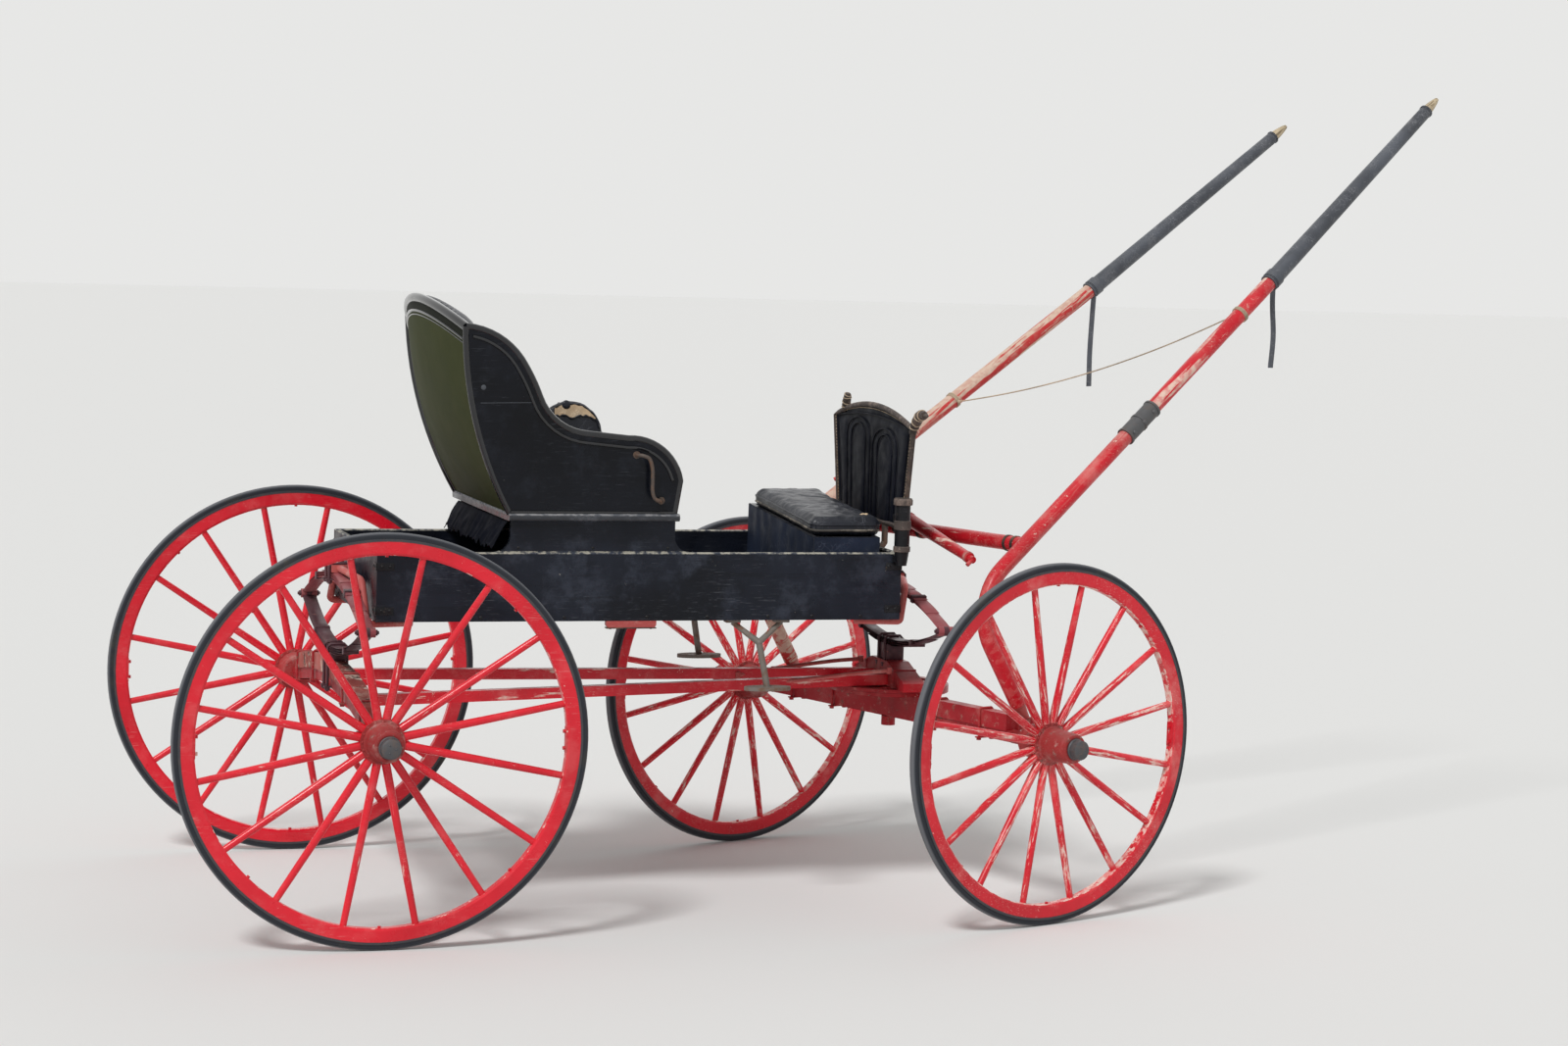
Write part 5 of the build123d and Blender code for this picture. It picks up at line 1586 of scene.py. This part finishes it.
# shafts
@dataclass
class Shafts:
    """Leather cover seams, bare tips, bands, hanging straps and singletree irons."""

    heel_h: float = 399.916
    heel: Point = (34.0, 512.0)
    cover: Point = (1490.0, 414.0)
    cover_end: float = 2390.0
    tip: Point = (2450.0, 350.0)
    r: float = 22.0
    tip_r: float = 15.0
    point: float = 55.0
    droop: float = 100.0
    bar_s: float = 285.0
    bar_r: float = 21.0
    sleeve_s: float = 810.0
    tree_h: float = 445.916
    tree_turn: float = math.radians(-17)
    tree_half: float = 457.0
    sleeve: tuple[Point, ...] = ((-35, 62, 25.6), (35, 62, 25.6), (-64, 7, 27.2), (0, 8, 27.4), (64, 7, 27.6))

    def line(self, side: int) -> tuple[Vector, Vector, Vector]:
        """Returns heel, start of the cover and tip of one shaft in the shafts' frame."""
        droop = self.droop if side > 0 else 0.0
        heel = Vector((self.heel[0], side * self.heel[1], self.heel_h))
        start = Vector((self.cover[0], side * self.cover[1], self.heel_h - 0.65 * droop))
        tip = Vector((self.tip[0], side * self.tip[1], self.heel_h + 12 - droop))
        return heel, start, tip

    def radius(self, s: float) -> float:
        """Returns a shaft's radius at a distance along it."""
        return self.r + (self.tip_r - self.r) * max(0.0, (s - self.cover[0]) / (self.tip[0] - self.cover[0]))

    def covers(self) -> None:
        """Adds the covers' sewn seams and rolled ends."""
        work = Work("shaft_cover_seams", Coat.cover, "shafts", Place.shafts())
        for side in (-1, 1):
            _, start, tip = self.line(side)
            run = tip - start
            reach = (self.cover_end - self.cover[0]) / (self.tip[0] - self.cover[0])
            along = run.normalized()
            turn = Vector((0, 0, 1)).rotation_difference(along)
            down = Vector((0, 0, -1))
            below = (down - along * along.dot(down)).normalized()
            seam = [start + run * t + below * (self.radius((start + run * t).x) + 3.8)
                    for t in (0.026 + (reach - 0.026) * k / 24 for k in range(25))]
            work.pipe(seam, 2.2, 8)
            for t in (0.025, 0.032, reach - 0.004, reach):
                centre = start + run * t
                r = self.radius(centre.x) + 4.0
                ring = [centre + turn @ Vector((r * math.cos(a), r * math.sin(a), 0))
                        for a in (2 * math.pi * k / 24 for k in range(24))]
                work.pipe(ring, 1.8, 6, closed=True)
        work.done()

    def tips(self) -> None:
        """Adds the pale tips, rubbed down to the wood."""
        work = Work("shaft_bare_tips", Coat.tip, "shafts", Place.shafts())
        for side in (-1, 1):
            _, start, tip = self.line(side)
            along = (tip - start).normalized()
            neck = tip - along * (self.point + 1)
            r = self.radius(neck.x) + 0.5
            work.pipe([neck, tip - along * 34, tip - along * 12, tip + along * 2], [r, r * 0.86, r * 0.62, 6.0], 20)
        work.done()

    def joint(self) -> None:
        """Adds the bolted iron sleeve that joins the right shaft's two halves."""
        heel, start, _ = self.line(-1)
        run = (start - heel).normalized()
        work = Work("shaft_joint_sleeve", Coat.band, "shafts", Place.shafts())
        for ahead, wide, r in self.sleeve:
            middle = heel + run * (self.sleeve_s + ahead)
            work.bar(middle - run * wide / 2, middle + run * wide / 2, r, sides=32)
        for ahead in (-48, 0, 48):
            work.dome(heel + run * (self.sleeve_s + ahead) + Vector((0, -26, 4)), (0, -1, 0.1), 6.5, 4.0)
        work.done()

    def bands(self) -> None:
        """Adds the iron bands on the crossbar and the singletree."""
        work = Work("shaft_bands", Coat.iron, "shafts", Place.shafts())
        spans = [(side * (y - 5), side * (y + 5), 2.0) for side in (-1, 1) for y in (430.0, 462.0)]
        for start, end, proud in (*spans, (-59.0, -45.0, 2.2), (45.0, 59.0, 2.2)):
            work.bar((self.bar_s, start, self.heel_h), (self.bar_s, end, self.heel_h), self.bar_r + proud, sides=24)
        work.done()
        turn = Matrix.Rotation(self.tree_turn, 4, "Z")
        place = Place.shafts() @ Matrix.Translation((self.bar_s, 0, self.tree_h)) @ turn
        tree = Work("singletree_irons", Coat.pink_iron, "singletree", place)
        for y, r in ((-34.0, 21.0), (34.0, 21.0), (self.tree_half - 30, 16.2), (30 - self.tree_half, 16.2)):
            tree.bar((0, y - 6, 0), (0, y + 6, 0), r, sides=24)
        tree.done()

    def straps(self) -> None:
        """Adds the keeper loops and the holdback straps that hang from them."""
        local = Place.body().inverted() @ Place.shafts()
        straps = Work("shaft_hanging_straps", Coat.cover, "shafts")
        wraps = Work("shaft_keepers", Coat.cover, "shafts", Place.shafts())
        for side, length, sway in ((-1, 262.0, 6.0), (1, 312.0, -8.0)):
            _, start, tip = self.line(side)
            along = (tip - start).normalized()
            middle = start + along * 46
            wraps.bar(middle - along * 13, middle + along * 13, self.r + 6.2, sides=28)
            hang = [local @ middle + Vector(away) for away in (
                (0, 0, -20), (sway * 0.3, 2, -0.3 * length), (sway, -3, -0.65 * length), (sway * 0.6, 2, -length))]
            straps.pipe(smooth_line(hang, 6), 9.5, 8, flat=0.17, across=(0.97, 0.2, 0))
        straps.done()
        wraps.done()

    def build(self) -> None:
        """Builds all the shafts' trim."""
        self.covers()
        self.tips()
        self.joint()
        self.bands()
        self.straps()


# soft goods
def applied(obj: bpy.types.Object) -> None:
    """Puts an object's modifiers into its mesh and removes them."""
    mesh = bpy.data.meshes.new_from_object(obj.evaluated_get(bpy.context.evaluated_depsgraph_get()))
    obj.modifiers.clear()
    obj.data = mesh


@dataclass
class Stuffing:
    """Swells a copy of a CAD pad into a soft leather form.

    Creases are pairs of points in the vehicle's millimetres, and a button is a crease of no length.
    """

    name: str
    node: str
    out: Vector
    voxel: float = 7.0
    shrink: float = 2.5
    cap: float = 14.0
    hold: float = 1.0
    pressure: float = 4.0
    frames: int = 20
    creases: Sequence[tuple[Point, Point]] = ()
    crease_wide: float = 16.0
    crease_deep: float = 9.0
    crease_share: float = 0.45
    wrinkle: float = 1.6

    def start(self) -> bpy.types.Object:
        """Returns a slightly smaller, evenly meshed copy of the CAD pad."""
        bm = bmesh.new()
        bm.from_mesh(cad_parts[self.node].data)
        bmesh.ops.remove_doubles(bm, verts=bm.verts[:], dist=1e-5)
        bmesh.ops.recalc_face_normals(bm, faces=bm.faces[:])
        mesh = bpy.data.meshes.new(self.name)
        bm.to_mesh(mesh)
        bm.free()
        obj = bpy.data.objects.new(self.name, mesh)
        bpy.context.scene.collection.objects.link(obj)
        even = obj.modifiers.new("even", "REMESH")
        even.mode = "VOXEL"
        even.voxel_size = self.voxel * MM
        even.use_smooth_shade = True
        applied(obj)
        inward = [vertex.normal * -self.shrink * MM for vertex in obj.data.vertices]
        for vertex, move in zip(obj.data.vertices, inward):
            vertex.co += move
        return obj

    def swell(self, obj: bpy.types.Object) -> None:
        """Blows the pad up as cloth, held where it lies against something."""
        before = [(vertex.co.copy(), vertex.normal.copy()) for vertex in obj.data.vertices]
        cloth = obj.modifiers.new("stuffing", "CLOTH")
        cloth.settings.use_pressure = True
        cloth.settings.uniform_pressure_force = self.pressure
        cloth.settings.effector_weights.gravity = 0.0
        cloth.settings.quality = 4
        cloth.point_cache.frame_end = self.frames
        for step in range(1, self.frames + 1):
            bpy.context.scene.frame_set(step)
        applied(obj)
        bpy.context.scene.frame_set(1)
        for vertex, (co, normal) in zip(obj.data.vertices, before):
            facing = held_in((normal.dot(self.out) + 0.1) / 0.8)
            limit = (self.hold + (self.cap - self.hold) * facing) * MM
            move = vertex.co - co
            outward = move.dot(normal)
            move += normal * (min(outward, limit) - outward)
            if move.length > self.cap * MM:
                move *= self.cap * MM / move.length
            vertex.co = co + move

    def sew(self, obj: bpy.types.Object) -> None:
        """Pulls the open side in at buttons and along creases, and wrinkles it."""
        place = Place.body()
        marks = [(place @ Vector(a), place @ Vector(b)) for a, b in self.creases]
        wide, deep = self.crease_wide * MM, self.crease_deep * MM
        normals = [vertex.normal.copy() for vertex in obj.data.vertices]
        for vertex, normal in zip(obj.data.vertices, normals):
            facing = held_in(normal.dot(self.out) * 1.6)
            if facing:
                pull = 0.0
                for a, b in marks:
                    run = b - a
                    button = run.length_squared < 1e-12
                    t = 0.0 if button else held_in((vertex.co - a).dot(run) / run.length_squared)
                    gap = vertex.co - a - run * t
                    gap -= self.out * gap.dot(self.out)
                    pull = max(pull, (1.0 if button else self.crease_share) * math.exp(-(gap.length / wide) ** 2))
                ripple = noise.noise(vertex.co * 34) + 0.5 * noise.noise(vertex.co * 85)
                vertex.co += (ripple * self.wrinkle * MM - pull * deep) * self.out * facing
            else:
                vertex.co += normal * noise.noise(vertex.co * 40) * self.wrinkle * 0.4 * MM

    def build(self) -> bpy.types.Object:
        """Returns the finished pad, which stands for its CAD node."""
        obj = self.start()
        self.swell(obj)
        self.sew(obj)
        self.shape(obj)
        smooth = obj.modifiers.new("smooth", "SUBSURF")
        smooth.levels = smooth.render_levels = 1
        applied(obj)
        for polygon in obj.data.polygons:
            polygon.use_smooth = True
        settle(obj, Coat.leather, "carriage", self.node)
        return obj

    def shape(self, obj: bpy.types.Object) -> None:
        """Leaves the swollen pad as it is; a pad with a form of its own changes it here."""


def welt(name: str, pad: bpy.types.Object, line: Iterable[Vector], r: float, finish: Finish, place: Matrix) -> None:
    """Sews a welt round a pad.

    Args:
        name: the welt's name.
        pad: the pad that it is laid on.
        line: its closed line, in the frame of place.
        r: its radius.
        finish: what it is finished in.
        place: the frame that it is drawn in.
    """
    surface = Surface(pad)
    work = Work(name, finish, place=place)
    work.pipe([place.inverted() @ surface.near(place @ point)[0] for point in line], r, 8, closed=True)
    work.done()


@dataclass
class BackPad(Stuffing):
    """The tall back pad, whose rolled head falls away to the sides."""

    seat: Seat = field(default_factory=Seat)

    def shape(self, obj: bpy.types.Object) -> None:
        """Rounds the head's ends down to the shell's corners."""
        place = Place.body()
        back = place.inverted()
        for vertex in obj.data.vertices:
            point = back @ vertex.co
            across = min(1.0, abs(point.y) / self.seat.head_half)
            edge_x, crown = self.seat.head(across)
            edge_x += self.seat.shell
            ahead = max(0.0, point.x - edge_x)
            near_end = max(0.0, (across - 0.72) / 0.28)
            top = crown + 7 - 34 * near_end ** 2 - 0.012 * ahead ** 2
            if point.z > top:
                point.z = top + (point.z - top) * 0.12
            head = held_in((point.z - crown + 190) / 150)
            if ahead:
                point.x = edge_x + ahead * (1 - 0.55 * head * near_end ** 1.5)
            vertex.co = place @ point


@dataclass
class Upholstery:
    """Cushion, tufted back, arm pads, and their welts, buttons and tears."""

    seat: Seat = field(default_factory=Seat)
    cushion_top: float = 1197.0
    cushion_back: float = 415.0
    cushion_front: float = 846.0
    cushion_half: float = 340.0
    welt_r: float = 3.4
    curtain_half: float = 318.0
    curtain_low: float = 990.0
    curtain_high: float = 1068.0
    arm_hump: tuple[Point, Point, Point] = ((640, 215), (734, 264), (826, 165))
    tear: tuple[Point, ...] = ((-1.0, 30.0), (-0.55, 38.0), (-0.25, 48.0), (0.1, 35.0), (0.5, 26.0), (1.0, 13.0))

    def button_heads(self, name: str, pad: bpy.types.Object, places: Sequence[Point], out: Vector) -> None:
        """Sews covered buttons into their hollows."""
        place = Place.body()
        surface = Surface(pad)
        work = Work(name, Coat.leather)
        for point in places:
            found = surface.hit(place @ (Vector(point) + out * 120), -out)
            if found is not None:
                work.dome(place.inverted() @ found, out, 8.5, 4.5)
        work.done()

    def cushion(self) -> None:
        """Adds the seat cushion."""
        up = Vector((0, 0, 1))
        spots = [(self.cushion_back + 130 * row + 90, y, self.cushion_top) for row in range(3)
                 for y in ((-240, -80, 80, 240) if row % 2 == 0 else (-160, 0, 160))]
        pad = Stuffing("seat_cushion_leather", "seat_cushion", up, creases=[(p, p) for p in spots]).build()
        self.button_heads("seat_cushion_buttons", pad, spots, up)
        low = (self.cushion_back + 6, 3 - self.cushion_half)
        high = (self.cushion_front - 5, self.cushion_half - 3)
        for label, z in (("top", self.cushion_top - 8), ("foot", self.seat.top + 20)):
            line = rounded_outline(low, high, 26.0, z, 30)
            welt(f"seat_cushion_welt_{label}", pad, line, self.welt_r, Coat.leather, Place.body())

    def back(self) -> None:
        """Adds the tufted back pad."""
        out = Vector((1, 0, 0.12)).normalized()
        spots = [(400, y, self.seat.top + z) for z, ys in (
            (165, (-255, -128, 0, 128, 255)), (255, (-192, -64, 64, 192)), (345, (-265, -132, 0, 132, 265)),
            (435, (-198, -66, 66, 198))) for y in ys]
        lines = [(p, q) for p in spots for q in spots if q[2] - p[2] == 90 and abs(q[1] - p[1]) < 72]
        lines += [(p, (400, p[1] * 1.02, self.seat.top + 585)) for p in spots if p[2] > self.seat.top + 400]
        creases = [(p, p) for p in spots] + lines
        pad = BackPad("seat_back_leather", "seat_back_pad", out, creases=creases, crease_deep=17, crease_wide=17,
                      cap=12.0).build()
        self.button_heads("seat_back_buttons", pad, spots, out)

    def torn_point(self, surface: Surface, along: float, share: float) -> tuple[Vector, Vector]:
        """Returns a point of the tear and its normal, from the lower edge at share 0 to the upper at 1."""
        x = 748 + 70 * along
        top = min(arc_points(*self.arm_hump, 60), key=lambda point: abs(point.x - x)).y
        for (u0, d0), (u1, d1) in zip(self.tear, self.tear[1:]):
            if u0 <= along <= u1:
                depth = d0 + (d1 - d0) * (along - u0) / (u1 - u0)
        depth += 4.5 * noise.noise(Vector((along * 7.0, 0.0, 4.0)))
        rise = top - 3 - (1 - share) * depth
        place = Place.body()
        across = self.seat.inner + rise * math.sin(self.seat.flare) - 30
        found, normal = surface.near(place @ Vector((x, across - 25, self.seat.top + rise)))
        return place.inverted() @ found, normal

    def arms(self) -> None:
        """Adds both arm pads, the left one burst open at its top."""
        obj = Stuffing("seat_arm_leather", "seat_arm_pads", Vector((0, 0, 1)), voxel=6.0, cap=5.0, wrinkle=2.4).build()
        place = Place.body()
        surface = Surface(obj)
        lining = Work("torn_arm_lining", Coat.torn)
        bmesh.ops.create_grid(lining.bm, x_segments=44, y_segments=14, size=1.0)
        laid = [(vertex, self.torn_point(surface, vertex.co.x, (vertex.co.y + 1) / 2)) for vertex in lining.bm.verts]
        for vertex, (point, normal) in laid:
            vertex.co = point + normal * (1.8 + 1.3 * noise.noise(point * 0.06))
        bmesh.ops.solidify(lining.bm, geom=lining.bm.faces[:], thickness=0.8)
        lining.done()
        edges = Work("torn_arm_edges", Coat.leather)
        for share in (0.0, 1.0):
            line = [point + normal * 1.4 for point, normal in (
                self.torn_point(surface, k / 20 - 1, share) for k in range(41))]
            edges.pipe(line, [2.6 + 0.9 * math.sin(k) for k in range(41)], 7)
        edges.done()
        middle, normal = surface.near(place @ Vector((712, self.seat.inner - 26, self.seat.top + 252)))
        flap = Work("torn_arm_button", Coat.leather)
        flap.dome(place.inverted() @ middle + normal * 2, normal, 13, 4)
        flap.done()

    def curtain(self) -> None:
        """Adds the crumpled leather flap that hangs behind the seat box."""
        work = Work("seat_curtain_leather", Coat.flap)
        bmesh.ops.create_grid(work.bm, x_segments=96, y_segments=16, size=1.0)
        for vertex in work.bm.verts:
            u, v = vertex.co.x, (vertex.co.y + 1) / 2
            y = u * self.curtain_half
            slant = y + 60 * v
            fold = 1.5 * noise.noise(Vector((slant * 0.0085, v * 0.9, 7.0)))
            fold += 0.35 * noise.noise(Vector((slant * 0.03, v * 2.0, 3.0)))
            slack = math.sin(math.pi * v) ** 0.7
            torn = max(0.0, 0.10 * noise.noise(Vector((y * 0.03, 0, 2.0))) + 0.03) * (1 - v)
            z = self.curtain_low + (self.curtain_high - self.curtain_low) * (v + torn * 3)
            vertex.co = (400 - 41 * (1 - v) ** 0.9 + 7 * fold * slack, y, min(z, self.curtain_high))
        bmesh.ops.solidify(work.bm, geom=work.bm.faces[:], thickness=1.6)
        obj = work.done("seat_curtain")

    def build(self) -> None:
        """Builds all the upholstery."""
        self.cushion()
        self.back()
        self.arms()
        self.curtain()


@dataclass
class JumpPad(Stuffing):
    """The child's seat pad, with broad rounded corners."""

    frame_here: Matrix = field(default_factory=Matrix)
    low: Point = (1257.0, -296.0)
    high: Point = (1479.0, 296.0)
    rear_corner: float = 42.0
    front_corner: float = 38.0

    def shape(self, obj: bpy.types.Object) -> None:
        """Draws the corners in to their radius and sits the underside on its box."""
        back = self.frame_here.inverted()
        for vertex in obj.data.vertices:
            point = back @ vertex.co
            if point.z < 9:
                point.z -= 2.6 * (1 - max(0.0, point.z) / 9)
                vertex.co = self.frame_here @ point
            rear = point.x < (self.low[0] + self.high[0]) / 2
            r = self.rear_corner if rear else self.front_corner
            x = self.low[0] + r if rear else self.high[0] - r
            y = math.copysign(self.high[1] - r, point.y)
            offset = Vector((point.x - x, point.y - y))
            if (offset.x < 0) == rear and offset.y * y > 0:
                square = max(abs(offset.x), abs(offset.y))
                if offset.length > 1e-6:
                    offset *= square / offset.length
                vertex.co = self.frame_here @ Vector((x + offset.x, y + offset.y, point.z))


@dataclass
class JumpSeat:
    """The child's seat: stuffed pad, worn welt, tear, and the leather hung round its box."""

    back: float = 1257.0
    depth: float = 222.0
    half: float = 296.0
    base: float = 1045.0
    thick: float = 46.0
    roll: float = math.radians(3.5)
    toe: float = 6.0
    nose: float = 24.0
    box_half: float = 313.6
    half_wide: float = 330.0
    apron_low: float = 830.0
    panel_top: float = 985.0
    tear: tuple[Point, ...] = ((172, -243, 7.0), (163, -249, 4.5), (181, -239, 5.0), (176, -250, 3.5))

    def place(self) -> Matrix:
        """Returns the tilted frame of the pad's underside."""
        return Place.body() @ Matrix.Translation((0, 0, self.base)) @ Matrix.Rotation(self.roll, 4, "X")

    def border(self, inset: float, z: float, corner: float = 42.0) -> list[Vector]:
        """Returns the pad's rounded outline in its own frame."""
        low, high = (self.back + inset, inset - self.half), (self.back + self.depth - inset, self.half - inset)
        return rounded_outline(low, high, corner, z, 22)

    def pad(self) -> None:
        """Adds the pad with its creases."""
        up = Matrix.Rotation(self.roll, 3, "X") @ Vector((0, 0, 1))
        body = Place.body().inverted() @ self.place()
        z = self.thick
        lines = (((95, 120), (214, 60)), ((120, -10), (214, -70)), ((140, -150), (212, -190)))
        creases = [[body @ Vector((self.back + x, y, z)) for x, y in line] for line in lines]
        pad = JumpPad("jump_seat_leather", "jump_seat", up, creases=creases, crease_deep=11, crease_wide=8, cap=10.0,
                      voxel=6.0, wrinkle=2.6, frame_here=self.place()).build()
        surface = Surface(pad)
        place = self.place()
        welt("jump_seat_welt_upper", pad, self.border(1.0, z - 15), 3.2, Coat.leather, place)
        welt("jump_seat_welt_lower", pad, self.border(1.0, 12.0), 3.6, Coat.worn_welt, place)
        tear = Work("jump_seat_tear", Coat.torn, place=place)
        for dx, dy, r in self.tear:
            found, _ = surface.near(place @ Vector((self.back + dx, dy, z + 5)))
            tear.dome(place.inverted() @ found, (0.1, 0.1, 1), r, 2.2)
        tear.done()

    def apron(self) -> None:
        """Adds the dark leather that hangs in folds round the box."""
        work = Work("jump_seat_apron", Coat.apron)
        bmesh.ops.create_grid(work.bm, x_segments=150, y_segments=10, size=1.0)
        x0, x1, y = self.back + self.toe, self.back + self.depth - self.nose, self.box_half
        sides = [Vector((x1, y)), Vector((x0, y)), Vector((x0, -y)), Vector((x1, -y))]
        lengths = [(b - a).length for a, b in zip(sides, sides[1:])]
        total = sum(lengths)
        for vertex in work.bm.verts:
            along, v = (vertex.co.x + 1) / 2 * total, (vertex.co.y + 1) / 2
            left = along
            for index, length in enumerate(lengths):
                if left <= length or index == 2:
                    a, b = sides[index], sides[index + 1]
                    run = (b - a).normalized()
                    point = a + run * min(left, length)
                    out = Vector((run.y, -run.x))
                    break
                left -= length
            fold = 2.6 + 1.8 * math.sin(along * 0.075 + 0.8 * math.sin(along * 0.02))
            fold += 1.2 * noise.noise(Vector((along * 0.05, v, 0)))
            high = self.base - 0.5 + math.sin(self.roll) * point.y
            out = -out if out.dot(point - Vector(((x0 + x1) / 2, 0))) < 0 else out
            spread = fold * (1.15 - 0.6 * v)
            z = self.apron_low + (high - self.apron_low) * v
            free = z > self.panel_top + 15 or abs(out.y) < 0.5
            xy = point + out * max(0.5, spread if free else 0.3)
            limit = self.box_half + 0.25 if z < self.panel_top + 3 else self.half_wide
            vertex.co = (xy.x, max(-limit, min(limit, xy.y)), z)
        obj = work.done()

    def build(self) -> None:
        """Builds the whole child's seat."""
        self.pad()
        self.apron()


# twine
@dataclass
class Twine:
    """The twine that ties the raised shafts to each other, with its knots."""

    right: Point = (1360.0, -423.0, 399.9)
    left: Point = (905.0, 453.0, 361.0)
    r: float = 2.0
    shaft_r: float = 22.0
    hang: float = 150.0

    def build(self) -> None:
        """Builds the cord and the turns round both shafts."""
        place = Place.shafts()
        a, b = Vector(self.right), Vector(self.left)
        start = a + Vector((0, self.shaft_r + 2, -4))
        end = b - Vector((0, self.shaft_r + 2, 4))
        sag = (place.inverted().to_3x3() @ Vector((0, 0, -1))).normalized()
        route = [start.lerp(end, t) + sag * self.hang * t * (1 - t) for t in (0.0, 0.12, 0.3, 0.5, 0.7, 0.88, 1.0)]
        curve = bpy.data.curves.new("shaft_twine", "CURVE")
        curve.dimensions = "3D"
        curve.resolution_u = 8
        curve.bevel_depth = self.r * MM
        curve.bevel_resolution = 3
        spline = curve.splines.new("NURBS")
        spline.points.add(len(route) - 1)
        for item, point in zip(spline.points, route):
            item.co = (*(place @ point), 1.0)
        spline.order_u = 3
        spline.use_endpoint_u = True
        twine = bpy.data.objects.new("shaft_twine", curve)
        bpy.context.scene.collection.objects.link(twine)
        curve.materials.append(Coat.twine.material())
        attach(twine, "shafts")
        knots = Work("shaft_twine_knots", Coat.twine, "shafts", place)
        for centre, sign in ((a, -1), (b, 1)):
            for along in (-4.4, 0.0, 4.4):
                r = self.shaft_r + 1.6
                ring = [centre + Vector((along, r * math.cos(t), r * math.sin(t)))
                        for t in (2 * math.pi * k / 24 for k in range(24))]
                knots.pipe(ring, self.r, 7, closed=True)
            knots.dome(centre - Vector((0, sign * (self.shaft_r + 3), 4)), (0, -sign, 0), 6.5, 5.0)
        tied = knots.done()
        length = sum((q - p).length for p, q in zip(route, route[1:])) * MM


# CAD nodes that only need a finish
@dataclass
class Dressing:
    """Gives CAD nodes their finishes."""

    table: tuple[tuple[Finish, str], ...] = (
        (Coat.black, "body_panels floor_boards seat_riser jump_seat_box"),
        (Coat.board, "seat_board"),
        (Coat.seat, "seat_sides"),
        (Coat.olive, "seat_back"),
        (Coat.leather, "seat_cushion seat_back_pad seat_arm_pads jump_seat"),
        (Coat.dash_leather, "seat_curtain dash_leather"),
        (Coat.bent_iron, "dash_frame grab_handles"),
        (Coat.black_iron_paint, "whip_socket"),
        (Coat.step_iron, "steps"),
        (Coat.pink_iron, "body_loops shaft_irons"),
        (Coat.red_gear, "rear_spring front_spring rear_axle head_block fifth_wheel_upper fifth_wheel_lower"),
        (Coat.red_gear, "front_axle front_axle_bed shaft_couplings"),
        (Coat.worn_bed, "rear_axle_bed"),
        (Coat.reach, "reaches"),
        (Coat.shaft, "shaft_right"),
        (Coat.bare_shaft, "shaft_left"),
        (Coat.cross_shaft, "shaft_crossbar singletree"),
        (Coat.cover, "shaft_covers"),
    )

    def build(self) -> None:
        """Puts each finish in its nodes' material slots."""
        for finish, names in self.table:
            for name in names.split():
                self.dress(name, finish)
        for end, paint, radius in (("rear", Coat.red, Wheels.rear_r), ("front", Coat.worn_red, Wheels.front_r)):
            for side in ("right", "left"):
                label = f"{end}_{side}"
                low, high = (Vector(corner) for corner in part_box(f"{label}_tyre"))
                centre = tuple((low + high) / 2)
                self.dress(f"{label}_hub", Coat.hub)
                self.dress(f"{label}_spokes", replace(paint, name=f"{label}_paint", centre=centre))
                self.dress(f"{label}_tyre", Rubber(f"{label}_rubber", (0.020, 0.0225, 0.029), 0.6, "tyre", 0.25,
                                                   radius=radius * MM, centre=centre))

    def dress(self, name: str, finish: Finish) -> None:
        """Gives a node one finish in every slot."""
        obj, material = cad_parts[name], finish.material()
        if not obj.material_slots:
            obj.data.materials.append(material)
        for slot in obj.material_slots:
            slot.material = material


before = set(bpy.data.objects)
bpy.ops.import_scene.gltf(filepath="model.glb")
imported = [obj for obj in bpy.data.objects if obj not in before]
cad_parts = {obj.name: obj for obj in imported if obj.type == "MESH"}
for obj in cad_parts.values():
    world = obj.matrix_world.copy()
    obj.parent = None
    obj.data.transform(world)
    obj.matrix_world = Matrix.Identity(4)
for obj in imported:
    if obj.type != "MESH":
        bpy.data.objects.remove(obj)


def main() -> None:
    """Builds the studio and every sub-assembly's looks, and reports them."""
    logging.basicConfig(level=logging.INFO, format="%(message)s")
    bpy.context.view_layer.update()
    Place.set_home()
    for part in (Studio(), Twine(), Dressing(), Body(), Seat(), Upholstery(), JumpSeat(), Dash(), WhipSocket(),
                 Wheels(),
                 # the springs' clips and U-bolts take the dark copy of the spring paint, painted shade
                 Spring("rear", 0.0, 675.0, 900.0, 573.0, Coat.spring_shaded, 657.0),
                 Spring("front", Place.wheelbase, 686.5, 875.5, 625.0, Coat.spring_shaded, 645.5),
                 RearAxle(), FrontGear(), Shafts()):
        part.build()
        log.info("built %s", type(part).__name__)


if __name__ == "__main__":
    main()
